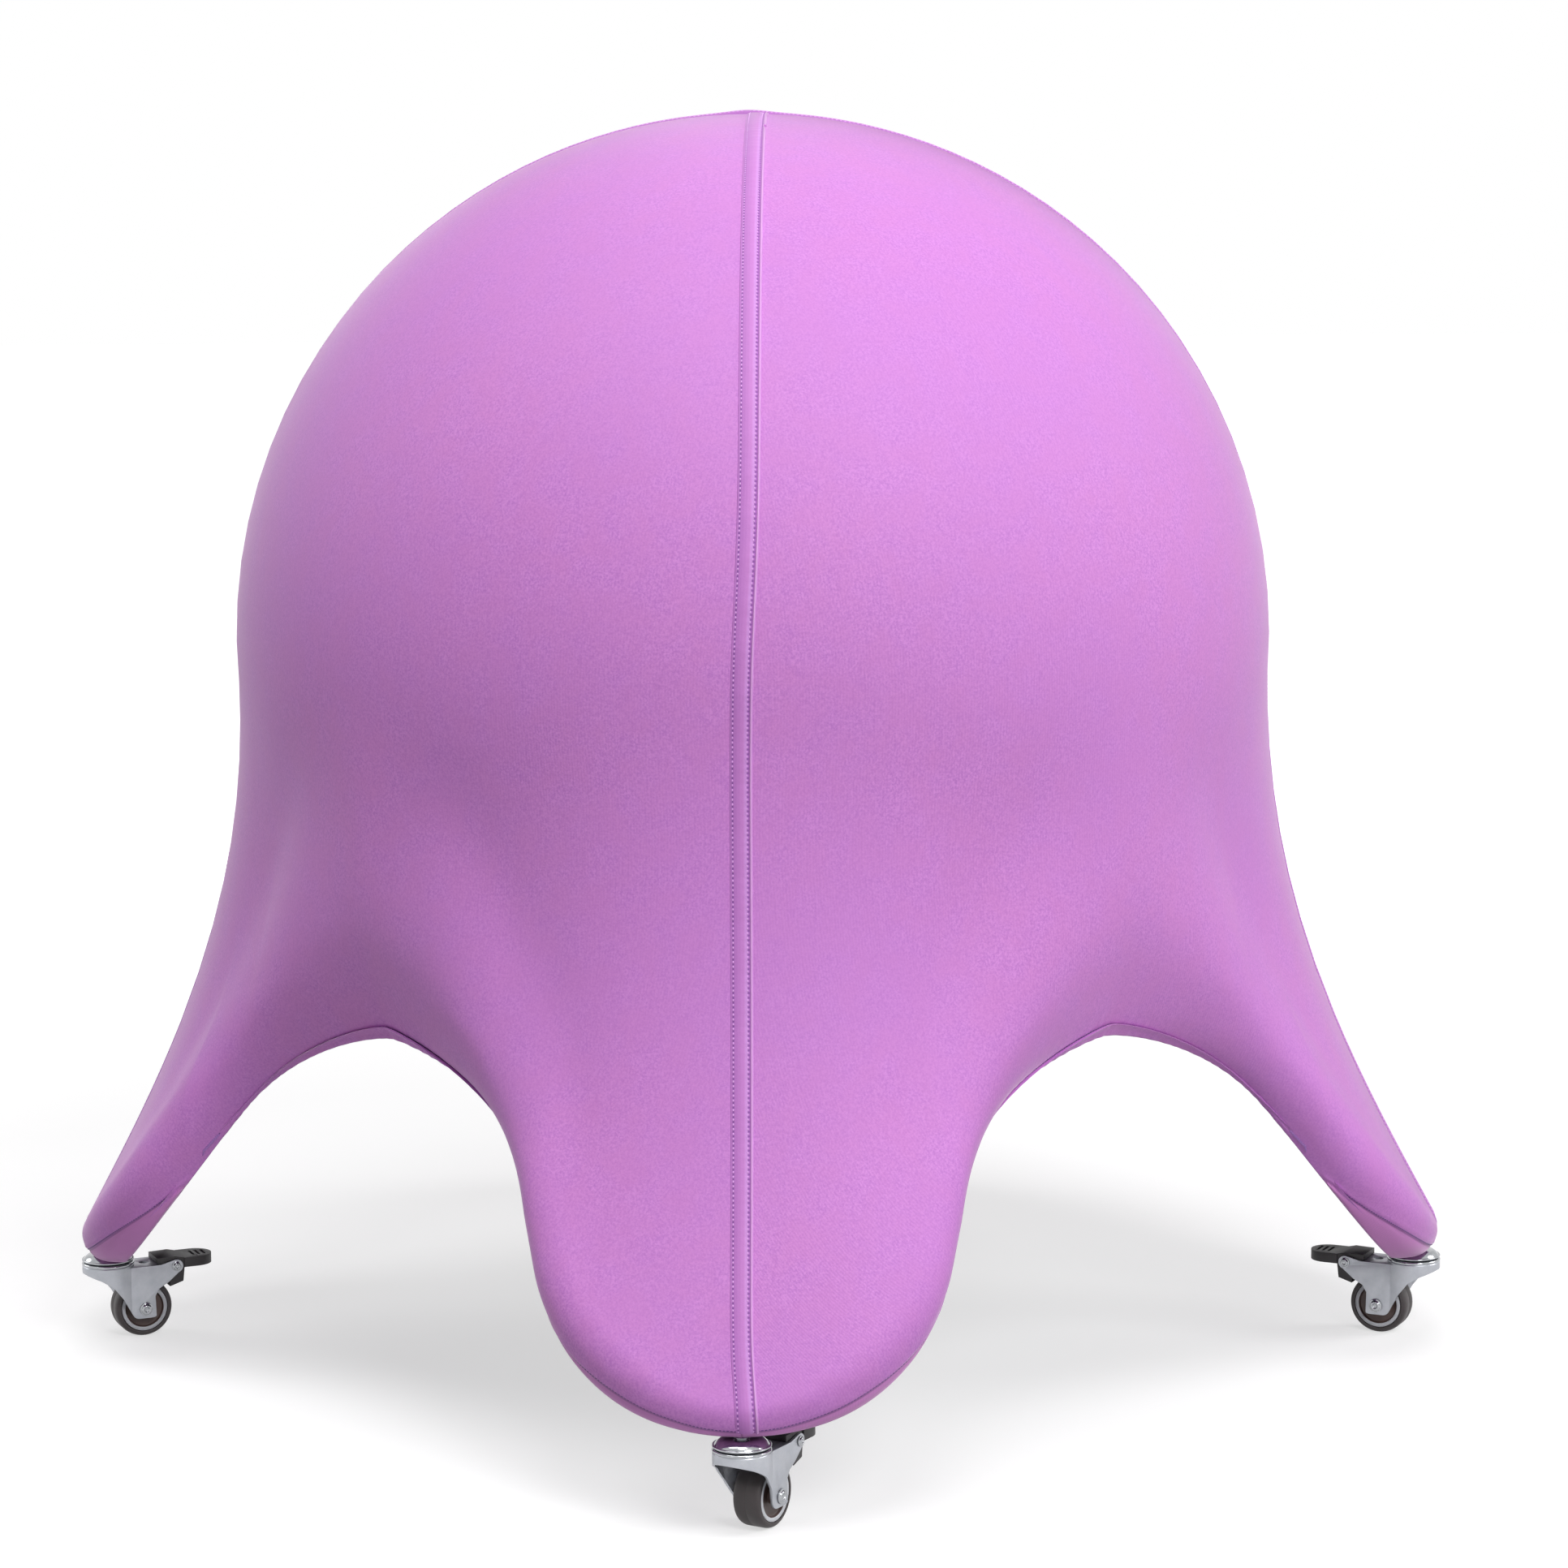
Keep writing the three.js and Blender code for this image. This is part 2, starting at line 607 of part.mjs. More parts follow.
// Finds the taut shape of half a panel, from the leg's middle to the middle of
// the arch: each point goes to the weighted mean of its four neighbours, and is
// then pushed off the ball and the hoop. It keeps well off the hoop at first.
function tautHalf() {
  const hem = halfHem();
  const columns = hem.length - 1;
  const rows = rowLengths.length;
  const grid = hem.map((point, column) => firstColumn(column, point));
  const spans = hem.slice(1).map((point, k) => point.distanceTo(hem[k]));
  const meanSpan = spans.reduce((sum, span) => sum + span, 0) / columns;
  const line = hoopLine();
  const sum = new THREE.Vector3();
  for (let pass = 0; pass < passes; pass++) {
    const slack = pass < loosePasses ? looseness : 0;
    const least = tubeRadius + cover.tubeLift + slack;
    for (let column = 0; column <= columns; column++) {
      const spanBefore = spans[Math.max(column - 1, 0)];
      const spanAfter = spans[Math.min(column, columns - 1)];
      for (let row = 1; row < rows; row++) {
        const up = longRow / rowLengths[row - 1];
        const under = longRow / rowLengths[row];
        const height = (rowLengths[row - 1] + rowLengths[row]) / 2 / longRow;
        const pull = crossPull * height * (row >= rows - wrapRows ? wrapPull : 1);
        const before = pull * meanSpan / spanBefore;
        const after = pull * meanSpan / spanAfter;
        const left = column ? grid[column - 1][row] : mirrored(grid[1][row], 0);
        const right = column < columns
          ? grid[column + 1][row]
          : mirrored(grid[columns - 1][row], legAngle / 2);
        sum.set(0, 0, 0);
        sum.addScaledVector(grid[column][row - 1], up);
        sum.addScaledVector(grid[column][row + 1], under);
        sum.addScaledVector(left, before).addScaledVector(right, after);
        const point = grid[column][row].copy(sum.divideScalar(up + under + before + after));
        pushOffBall(point);
        pushOffTube(point, line, least);
        if (column === 0) {
          point.lerp(mirrored(point, 0), 1 / 2);
        } else if (column === columns) {
          point.lerp(mirrored(point, legAngle / 2), 1 / 2);
        }
      }
    }
  }
  return grid;
}

// Unit normals that point away from the ball, in the plane of the seam at the
// panel's two edges.
function gridNormals(grid) {
  const columns = grid.length - 1;
  const rows = grid[0].length - 1;
  return grid.map((line, column) => line.map((point, row) => {
    if (row === 0) {
      return new THREE.Vector3(0, 0, 1);
    }
    const left = column ? grid[column - 1][row] : mirrored(grid[1][row], 0);
    const right = column < columns
      ? grid[column + 1][row]
      : mirrored(grid[columns - 1][row], legAngle);
    const upper = line[row - 1];
    const lower = line[Math.min(row + 1, rows)];
    const run = right.clone().sub(left);
    const fall = lower.clone().sub(upper);
    return fall.cross(run).normalize();
  }));
}

function panelGeometry() {
  const half = tautHalf();
  const twin = half.slice(0, -1).reverse();
  const grid = [...half, ...twin.map((line) => line.map((point) => mirrored(point, legAngle / 2)))];
  const normals = gridNormals(grid);
  const columns = grid.length - 1;
  const rows = grid[0].length - 1;
  const skins = [0, coverThickness].map((lift) => grid.map((line, column) => (
    line.map((point, row) => point.clone().addScaledVector(normals[column][row], lift)))));
  const [inner, outer] = skins;
  const corners = [];
  const quad = (a, b, c, d) => corners.push(a, b, c, a, c, d);
  for (let column = 0; column < columns; column++) {
    const next = column + 1;
    for (let row = 0; row < rows; row++) {
      const under = row + 1;
      const loop = [[column, row], [column, under], [next, under], [next, row]];
      if (2 * column < columns) {
        loop.unshift(loop.pop());
      }
      const [near, before, far, after] = loop;
      quad(...[near, before, far, after].map(([c, r]) => outer[c][r]));
      quad(...[near, after, far, before].map(([c, r]) => inner[c][r]));
    }
    quad(outer[column][rows], inner[column][rows], inner[next][rows], outer[next][rows]);
  }
  const first = { inner: inner[0], outer: outer[0] };
  const last = { inner: inner[columns], outer: outer[columns] };
  for (let row = 0; row < rows; row++) {
    const under = row + 1;
    quad(first.inner[row], first.inner[under], first.outer[under], first.outer[row]);
    quad(last.outer[row], last.outer[under], last.inner[under], last.inner[row]);
  }
  const skin = new THREE.BufferGeometry().setFromPoints(corners);
  let panel = solid(skin);
  const holeRadius = stem.radius + 3 * clearance;
  for (const azimuth of [0, legAngle]) {
    const hole = uprightCylinder(holeRadius, 0, hoop.tipHeight, headSegments);
    hole.translate(casterCircleRadius, 0, 0).rotateZ(azimuth);
    panel = panel.subtract(solid(hole));
  }
  return geometryOf(panel);
}

// Assembly: every caster stands turned a little differently, as free ones do.
const restTurns = { right: 155, back: 240, left: 25, front: 60 };
const axlePlace = new THREE.Vector3(wheel.trail, 0, wheelRadius);
const brakePlace = new THREE.Vector3(fork.pivotReach, 0, fork.pivotHeight);
const panel = panelGeometry();
const hoopShape = hoopGeometry();
const forkShape = forkGeometry();
const pedalShape = pedalGeometry();
const tyreShape = tyreGeometry();
const hubShape = hubGeometry();
const stemShape = stemGeometry(hoop.tipHeight + stem.depthAboveTube);
const axleShape = rivetGeometry(axle.radius, axle.headRadius, axle.headHeight);
const pinShape = rivetGeometry(pin.radius, pin.headRadius, pin.headHeight);

addMesh(part, 'ball', ballGeometry(), 'vinyl');
addMesh(part, 'ball_plug', plugGeometry(), 'plastic');
addMesh(part, 'seat_ring', ringGeometry(tubeRadius), 'steel');

for (let leg = 0; leg < legCount; leg++) {
  const name = legNames[leg];
  const side = new THREE.Group();
  side.rotation.z = leg * legAngle;
  part.add(side);
  addMesh(side, `cover_panel_${panelNames[leg]}`, panel, 'fabric');
  addMesh(side, `leg_hoop_${name}`, hoopShape, 'steel');

  const caster = new THREE.Group();
  caster.position.set(casterCircleRadius, 0, 0);
  caster.rotation.z = THREE.MathUtils.degToRad(restTurns[name]) - side.rotation.z;
  side.add(caster);
  addMesh(caster, `caster_stem_${name}`, stemShape, 'chrome');
  addMesh(caster, `caster_fork_${name}`, forkShape, 'zinc');
  addMesh(caster, `caster_tyre_${name}`, tyreShape, 'tyre').position.copy(axlePlace);
  addMesh(caster, `caster_hub_${name}`, hubShape, 'hub').position.copy(axlePlace);
  addMesh(caster, `caster_axle_${name}`, axleShape, 'chrome').position.copy(axlePlace);
  addMesh(caster, `brake_pedal_${name}`, pedalShape, 'plastic');
  addMesh(caster, `brake_pin_${name}`, pinShape, 'chrome').position.copy(brakePlace);
}

export default part;
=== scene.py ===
import math

import bmesh
import bpy
import numpy as np
from mathutils import Matrix, Vector


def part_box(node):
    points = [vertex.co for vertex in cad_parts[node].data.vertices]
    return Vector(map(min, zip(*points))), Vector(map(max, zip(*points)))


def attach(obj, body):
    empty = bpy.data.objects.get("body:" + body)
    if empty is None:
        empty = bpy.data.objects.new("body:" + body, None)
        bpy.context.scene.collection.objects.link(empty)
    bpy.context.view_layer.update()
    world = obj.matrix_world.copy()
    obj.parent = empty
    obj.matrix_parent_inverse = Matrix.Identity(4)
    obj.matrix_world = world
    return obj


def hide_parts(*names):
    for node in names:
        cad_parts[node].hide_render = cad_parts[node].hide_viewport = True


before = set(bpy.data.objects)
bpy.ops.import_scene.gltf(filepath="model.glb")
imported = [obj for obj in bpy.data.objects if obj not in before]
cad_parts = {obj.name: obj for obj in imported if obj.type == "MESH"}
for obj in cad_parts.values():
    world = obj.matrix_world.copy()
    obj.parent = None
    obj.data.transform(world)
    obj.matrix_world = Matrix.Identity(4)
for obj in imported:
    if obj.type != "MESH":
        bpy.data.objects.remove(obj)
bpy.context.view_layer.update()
scene = bpy.context.scene
mm = 0.001

# Camera. A long lens from a little above the ball's middle, almost square to
# the front leg, as the outline of the ball and the heads of the casters give.
camera_distance = 2410.96 * mm
camera_height = 654.87 * mm
camera_turn = math.radians(1.39)
camera_pitch = math.radians(8.2274)
camera_roll = math.radians(-0.529)
photo_side = 1932
focal_pixels = 5552
chair_axis_column = 929.36

camera_data = bpy.data.cameras.new("camera")
camera_data.sensor_width = 36
camera_data.lens = camera_data.sensor_width * focal_pixels / photo_side
camera_data.shift_x = 0.5 - chair_axis_column / photo_side
camera_data.clip_start = 0.1
camera_data.clip_end = 40
camera = bpy.data.objects.new("camera", camera_data)
scene.collection.objects.link(camera)
scene.camera = camera
place = Vector((math.sin(camera_turn), -math.cos(camera_turn), 0)) * camera_distance
place.z = camera_height
camera.matrix_world = (
    Matrix.Translation(place)
    @ Matrix.Rotation(camera_turn, 4, "Z")
    @ Matrix.Rotation(math.pi / 2 - camera_pitch, 4, "X")
    @ Matrix.Rotation(camera_roll, 4, "Z")
)


# Studio. A pale floor and world that the camera sees as white, and large soft
# lamps, most of them overhead and on the right, as the chair's own shade shows.
def linear(code):
    values = [int(code[k:k + 2], 16) / 255 for k in (0, 2, 4)]
    return [v / 12.92 if v <= 0.04045 else ((v + 0.055) / 1.055) ** 2.4 for v in values] + [1.0]


def add(tree, kind, links=(), **settings):
    """Adds a node, sets its sockets or properties, and links its inputs."""
    node = tree.nodes.new(kind)
    for name, value in settings.items():
        if hasattr(node, name):
            setattr(node, name, value)
    for socket, value in dict(links).items():
        if isinstance(value, bpy.types.NodeSocket):
            tree.links.new(value, node.inputs[socket])
        else:
            node.inputs[socket].default_value = value
    return node


def new_material(name):
    """An empty material with its tree, its shader and its output."""
    material = bpy.data.materials.new(name)
    material.use_nodes = True
    tree = material.node_tree
    tree.nodes.clear()
    shader = add(tree, "ShaderNodeBsdfPrincipled")
    add(tree, "ShaderNodeOutputMaterial", {"Surface": shader.outputs["BSDF"]})
    return material, tree, shader


def shown(tree):
    """1 where the camera, a mirror or clear glass looks, and 0 for light on the chair."""
    path = add(tree, "ShaderNodeLightPath")
    seen = path.outputs["Is Camera Ray"]
    for ray in ("Is Glossy Ray", "Is Transmission Ray"):
        either = add(tree, "ShaderNodeMath", {0: seen, 1: path.outputs[ray]}, operation="MAXIMUM")
        seen = either.outputs[0]
    return seen


world_fill = 0.02
scene.view_settings.view_transform = "Standard"
world = bpy.data.worlds.new("studio")
scene.world = world
world.use_nodes = True
tree = world.node_tree
tree.nodes.clear()
level = add(tree, "ShaderNodeMapRange", {"Value": shown(tree), "To Min": world_fill,
                                         "To Max": 1.0})
sky = add(tree, "ShaderNodeBackground", {"Color": (1, 1, 1, 1), "Strength": level.outputs[0]})
add(tree, "ShaderNodeOutputWorld", {"Surface": sky.outputs[0]})

# The floor glows white far out and less near the chair, whose shadow it keeps.
shadow_reach = 0.7
white_reach = 2.2
floor_glow = 0.6
floor_half = 12
floor_material, tree, shader = new_material("white_studio_floor")
shader.inputs["Base Color"].default_value = linear("b4b4b4")
shader.inputs["Roughness"].default_value = 0.9
coords = add(tree, "ShaderNodeTexCoord")
away = add(tree, "ShaderNodeVectorMath", {0: coords.outputs["Object"]}, operation="LENGTH")
level = add(tree, "ShaderNodeMapRange", {"Value": away.outputs["Value"], "To Max": 1.0,
                                         "From Min": shadow_reach, "From Max": white_reach,
                                         "To Min": floor_glow})
level = add(tree, "ShaderNodeMath", {0: level.outputs[0], 1: shown(tree)}, operation="MULTIPLY")
glow = add(tree, "ShaderNodeEmission", {"Color": (1, 1, 1, 1), "Strength": level.outputs[0]})
both = add(tree, "ShaderNodeAddShader", {0: shader.outputs[0], 1: glow.outputs[0]})
tree.links.new(both.outputs[0], tree.nodes["Material Output"].inputs["Surface"])
bm = bmesh.new()
bmesh.ops.create_grid(bm, x_segments=1, y_segments=1, size=floor_half)
floor_mesh = bpy.data.meshes.new("studio_floor")
bm.to_mesh(floor_mesh)
bm.free()
floor_mesh.materials.append(floor_material)
floor = bpy.data.objects.new("studio_floor", floor_mesh)
scene.collection.objects.link(floor)

chair_middle = Vector((0, 0, 0.33))
lamp_size = 1.3
lamps = {
    "front_lamp": ((1.15, -2.2, 1.96), 45.5),
    "high_lamp": ((0.1, -1.2, 3.05), 35),
    "left_lamp": ((-1.19, -0.43, 3.05), 22),
    "right_lamp": ((2.7, 0.2, 1.6), 30),
    "edge_lamp": ((-2.65, 0.96, 1.36), 13),
    "back_lamp": ((0, 1.93, 2.63), 10),
}
for name, (spot, power) in lamps.items():
    lamp_data = bpy.data.lights.new(name, "AREA")
    lamp_data.shape = "DISK"
    lamp_data.size = lamp_size
    lamp_data.energy = power
    lamp = bpy.data.objects.new(name, lamp_data)
    scene.collection.objects.link(lamp)
    lamp.location = spot
    lamp.rotation_euler = (chair_middle - Vector(spot)).to_track_quat("-Z", "Y").to_euler()


# Ball. A burst-resistant exercise ball of PVC, rotomoulded in one piece, with
# low grip ribs round its middle. It carries the sitter and fills out the cover.
ball_low, ball_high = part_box("ball")
ball_radius = (ball_high.x - ball_low.x) / 2
ball_middle = ball_high.z - ball_radius
rib_pitch = 15 * mm
rib_height = 0.45 * mm
rib_half_width = 1.6 * mm
rib_crest = 0.15 * mm
rib_count = 13
plug_hole = 4.6 * mm
plug_hole_depth = 2.4 * mm
seat_depth = 1.2 * mm
seat_radius = 11 * mm
seat_slope = 1 * mm


def spun(profile, steps=64):
    """A bmesh turned about Z from points of radius and height."""
    bm = bmesh.new()
    points = [bm.verts.new((radius, 0, height)) for radius, height in profile]
    edges = [bm.edges.new(pair) for pair in zip(points, points[1:])]
    bmesh.ops.spin(bm, geom=points + edges, cent=(0, 0, 0), axis=(0, 0, 1),
                   angle=2 * math.pi, steps=steps, use_merge=True)
    bmesh.ops.remove_doubles(bm, verts=bm.verts, dist=1e-6)
    bmesh.ops.recalc_face_normals(bm, faces=bm.faces)
    return bm


def rounded(bm, width, steps=2, least=28):
    """Rounds the edges that are sharper than an angle."""
    edges = [e for e in bm.edges if e.is_manifold and e.calc_face_angle() > math.radians(least)]
    bmesh.ops.bevel(bm, geom=edges, offset=width, offset_type="OFFSET", segments=steps,
                    profile=0.5, affect="EDGES", clamp_overlap=True, material=-1)


def finished(bm, name, material, body, replaced=(), place=None, sharp=40):
    """Makes the bmesh a piece of the chair that rides on a body."""
    if place is not None:
        bmesh.ops.transform(bm, matrix=place, verts=bm.verts)
    mesh = bpy.data.meshes.new(name)
    bm.to_mesh(mesh)
    bm.free()
    for face in mesh.polygons:
        face.use_smooth = True
    mesh.set_sharp_from_angle(angle=math.radians(sharp))
    mesh.materials.append(material)
    piece = bpy.data.objects.new(name, mesh)
    scene.collection.objects.link(piece)
    if replaced:
        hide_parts(*replaced)
    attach(piece, body)
    return piece


def mottled(name, spot_size, detail, dark, light):
    """A material whose colour drifts between two tones in spots of a real size."""
    material, tree, shader = new_material(name)
    coords = add(tree, "ShaderNodeTexCoord")
    spots = add(tree, "ShaderNodeTexNoise", {"Vector": coords.outputs["Object"],
                                             "Scale": 1 / spot_size, "Detail": detail})
    tone = add(tree, "ShaderNodeMix", {0: spots.outputs["Fac"], 6: linear(dark),
                                       7: linear(light)}, data_type="RGBA")
    tree.links.new(tone.outputs[2], shader.inputs["Base Color"])
    return material, tree, shader, coords, spots


def textured(tree, shader, gloss=None, relief=None):
    """Patterns: one between two roughnesses, and one with a strength and a depth."""
    if gloss:
        pattern, smooth, rough = gloss
        level = add(tree, "ShaderNodeMapRange", {"Value": pattern.outputs[0], "To Min": smooth,
                                                 "To Max": rough})
        tree.links.new(level.outputs[0], shader.inputs["Roughness"])
    if relief:
        pattern, strength, depth = relief
        bumps = add(tree, "ShaderNodeBump", {"Height": pattern.outputs[0], "Strength": strength,
                                             "Distance": depth})
        tree.links.new(bumps.outputs[0], shader.inputs["Normal"])


# Soft PVC: a smooth, slightly waxy skin with a faint orange-peel from the mould.
peel_size = 2.4 * mm
cloud_size = 60 * mm
vinyl, tree, shader, coords, clouds = mottled("moulded_pvc_ball", cloud_size, 2, "848b94",
                                              "979ea6")
peel = add(tree, "ShaderNodeTexNoise", {"Vector": coords.outputs["Object"],
                                        "Scale": 1 / peel_size, "Detail": 2.0})
textured(tree, shader, gloss=(peel, 0.36, 0.5), relief=(peel, 0.12, 0.2 * mm))
shader.inputs["IOR"].default_value = 1.53

seat_floor = -ball_radius + seat_depth
profile = [(0, seat_floor + plug_hole_depth), (plug_hole, seat_floor + plug_hole_depth),
           (plug_hole, seat_floor), (seat_radius, seat_floor)]
first_turn = math.asin((seat_radius + seat_slope) / ball_radius)
turns = list(np.linspace(first_turn, math.pi, 60))
rib_tops = [math.pi / 2 + (k - (rib_count - 1) / 2) * rib_pitch / ball_radius
            for k in range(rib_count)]
half_turn = rib_half_width / ball_radius
for middle in rib_tops:
    turns += [middle - half_turn, middle, middle + half_turn]
for turn in sorted(turns):
    on_rib = any(abs(turn - middle) < rib_crest / ball_radius for middle in rib_tops)
    reach = ball_radius + (rib_height if on_rib else 0)
    profile.append((reach * math.sin(turn) if turn < math.pi else 0, -reach * math.cos(turn)))
bm = spun(profile, 96)
finished(bm, "exercise_ball", vinyl, "frame", ["ball"],
         Matrix.Translation((0, 0, ball_middle)))

# Valve plug. A soft stopper pressed into the ball's filling hole, with a domed
# flange to grip when it is pulled. It is moulded in milky, satin low-density
# polyethylene with a fine mould grit.
plug_grit = 0.8 * mm
plug_plastic, tree, shader, coords, grit = mottled("moulded_ldpe_plug", plug_grit, 2, "d9d9d4",
                                                   "efefea")
textured(tree, shader, gloss=(grit, 0.38, 0.52))
plug_low, plug_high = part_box("ball_plug")
flange = (plug_high.x - plug_low.x) / 2
plug_neck = 4 * mm
plug_round = 0.25 * mm
flange_depth = 1.5 * mm
grip_rise = 0.4 * mm
bm = spun([(0, plug_low.z - grip_rise), (flange * 0.3, plug_low.z - grip_rise),
           (flange * 0.36, plug_low.z), (flange * 0.9, plug_low.z),
           (flange, plug_low.z + flange_depth * 0.4), (flange, plug_low.z + flange_depth),
           (plug_neck, plug_low.z + flange_depth), (plug_neck, plug_high.z),
           (0, plug_high.z)], 40)
rounded(bm, plug_round)
finished(bm, "valve_plug", plug_plastic, "frame", ["ball_plug"])

# Seat ring and hoop legs. Steel tube, roll-bent, welded together and powder
# coated black. Each hoop leans in to the ball and its bend holds a caster.
tube_radius = 9 * mm
caster_circle = 358.5 * mm
hoop_lean = math.radians(37.6)
hoop_bend = 87 * mm
hoop_tip = 60.9 * mm
hoop_side = 92 * mm
hoop_top_bend = 26 * mm
hoop_splay = math.radians(7)
hoop_turn = math.pi / 2 - hoop_splay
tube_sides = 24
weld_beads = 18
weld_bead = 1.9 * mm
weld_passes = 60
leg_names = ["right", "back", "left", "front"]
quarters = [Matrix.Rotation(math.pi / 2 * leg, 4, "Z") for leg in range(4)]

down = np.array([math.sin(hoop_lean), 0, -math.cos(hoop_lean)])
inward = np.array([-math.cos(hoop_lean), 0, -math.sin(hoop_lean)])
across = np.array([0, 1.0, 0])
bend_centre = np.array([caster_circle, 0, hoop_tip]) - down * hoop_bend


def out_at(turn):
    return down * math.cos(turn) + across * math.sin(turn)


def along_at(turn):
    return across * math.cos(turn) - down * math.sin(turn)


def hoop_point(turn):
    return bend_centre + out_at(turn) * hoop_bend


def swept(points, radius, sides):
    """A closed tube drawn out along the points, ring by ring, from a circle."""
    bm = bmesh.new()
    path = [Vector(point) for point in points]
    ways = [(b - a).normalized() for a, b in zip(path, path[1:])]
    ways = [ways[0]] + [(a + b).normalized() for a, b in zip(ways, ways[1:])] + [ways[-1]]
    bmesh.ops.create_circle(bm, segments=sides, radius=radius)
    turn = Vector((0, 0, 1)).rotation_difference(ways[0]).to_matrix().to_4x4()
    bmesh.ops.transform(bm, matrix=Matrix.Translation(path[0]) @ turn, verts=bm.verts)
    ring = bm.edges[:]
    for k in range(1, len(path)):
        drawn = bmesh.ops.extrude_edge_only(bm, edges=ring)["geom"]
        ring = [g for g in drawn if isinstance(g, bmesh.types.BMEdge)]
        corners = [g for g in drawn if isinstance(g, bmesh.types.BMVert)]
        turn = ways[k - 1].rotation_difference(ways[k]).to_matrix()
        bmesh.ops.rotate(bm, verts=corners, cent=path[k - 1], matrix=turn)
        bmesh.ops.translate(bm, verts=corners, vec=path[k] - path[k - 1])
    bmesh.ops.holes_fill(bm, edges=bm.edges, sides=0)
    bmesh.ops.recalc_face_normals(bm, faces=bm.faces)
    return bm


def pressed_bead(bm, spot, along, across, size, fineness):
    """Adds a rounded lump with its own length, width and height."""
    up = Vector(along).cross(Vector(across))
    axes = [Vector(along) * size[0], Vector(across) * size[1], up * size[2]]
    place = Matrix(axes).transposed().to_4x4()
    place.translation = Vector(spot)
    bmesh.ops.create_icosphere(bm, subdivisions=fineness, radius=1, matrix=place)


# Powder coat: baked epoxy polyester, satin, with the fine dimples it cures to.
dimple_size = 1.1 * mm
powder_coat, tree, shader, coords, dimples = mottled("black_powder_coated_steel", dimple_size, 3,
                                                     "202124", "34363a")
textured(tree, shader, gloss=(dimples, 0.36, 0.56), relief=(dimples, 0.3, 0.15 * mm))

ring_low, ring_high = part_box("seat_ring")
ring_height = (ring_low.z + ring_high.z) / 2
ring_radius = ring_high.x - tube_radius
bm = bmesh.new()
bmesh.ops.create_circle(bm, segments=tube_sides, radius=tube_radius)
bmesh.ops.rotate(bm, verts=bm.verts, cent=(0, 0, 0), matrix=Matrix.Rotation(math.pi / 2, 3, "X"))
bmesh.ops.translate(bm, verts=bm.verts, vec=(ring_radius, 0, ring_height))
bmesh.ops.spin(bm, geom=bm.verts[:] + bm.edges[:], cent=(0, 0, 0), axis=(0, 0, 1),
               angle=2 * math.pi, steps=120, use_merge=True)
bmesh.ops.recalc_face_normals(bm, faces=bm.faces)
finished(bm, "seat_ring_tube", powder_coat, "frame", ["seat_ring"])

corner = hoop_point(hoop_turn) + along_at(hoop_turn) * hoop_side
hoop_end = np.array([math.sqrt(ring_radius ** 2 - corner[1] ** 2), corner[1], ring_height])
before = corner - along_at(hoop_turn) * hoop_top_bend
after = corner + (hoop_end - corner) * hoop_top_bend / np.linalg.norm(hoop_end - corner)
half_hoop = [hoop_point(hoop_turn * k / 20) for k in range(21)]
half_hoop += [before + (corner - before) * 2 * t * (1 - t) + (after - before) * t * t
              for t in np.linspace(0, 1, 9)]
half_hoop.append(hoop_end)
mirrored_hoop = [point * [1, -1, 1] for point in half_hoop]
hoop_line = mirrored_hoop[:0:-1] + half_hoop
end_way = Vector(hoop_end - after).normalized()
end_side = end_way.orthogonal().normalized()
lump = [weld_bead * 0.8, weld_bead, weld_bead]
for quarter, name in zip(quarters, leg_names):
    bm = swept(hoop_line, tube_radius, tube_sides)
    finished(bm, f"hoop_tube_{name}", powder_coat, "frame",
             [f"leg_hoop_{name}"], quarter)
    bm = bmesh.new()
    for side in (1, -1):
        for k in range(weld_beads):
            turn = Matrix.Rotation(2 * math.pi * k / weld_beads, 3, end_way)
            spot = Vector(hoop_end) + turn @ end_side * tube_radius
            for _ in range(weld_passes):
                flat = Vector((spot.x, spot.y, 0))
                core = flat.normalized() * ring_radius + Vector((0, 0, ring_height))
                spot -= end_way * max(0, tube_radius - (spot - core).length)
            way = end_way.cross(turn @ end_side)
            mirror = Vector((1, side, 1))
            pressed_bead(bm, spot * mirror, way * mirror, turn @ end_side * mirror, lump, 2)
    bmesh.ops.recalc_face_normals(bm, faces=bm.faces)
    finished(bm, f"hoop_weld_{name}", powder_coat, "frame", (), quarter)

# Cover. Four panels of knitted stretch cloth, sewn together down the legs and
# drawn tight over the ball and the hoops by its own pull. Each panel hangs from
# its hem and settles point by point, first on a wide grid and then on finer ones.
cloth = 1.2 * mm
ball_lift = 0.8 * mm
tube_lift = 1.5 * mm
rim_out = 8 * mm
rim_in = 5.2 * mm
rim_full = math.radians(48)
rim_run_on = 30 * mm
rim_zone = hoop_tip + 200 * mm
hem_reach = 18 * mm
hem_drop_tip = 1.2 * mm
hem_drop_side = 8.5 * mm
hem_side = 48 * mm
arch_radius = 253 * mm
arch_height = 203.2 * mm
arch_leave = 49 * mm
arch_top = 15 * mm
cross_pull = 15
wrap_pull = 0.3
long_row = 72 * mm
wrap_row = 3 * mm
long_rows = 9
graded_rows = 3
wrap_rows = 7
bend_columns, side_columns, arch_columns = 6, 1, 5
panel_names = ["back_right", "back_left", "front_left", "front_right"]
growth = (long_row / wrap_row) ** (1 / (graded_rows + 1))
row_lengths = np.array([long_row] * long_rows
                       + [long_row / growth ** k for k in range(1, graded_rows + 1)]
                       + [wrap_row] * wrap_rows)


def eased(share):
    return share * share * (3 - 2 * share)


def length_along(line):
    steps = np.linalg.norm(np.diff(line, axis=0), axis=1)
    return np.concatenate([[0], np.cumsum(steps)])


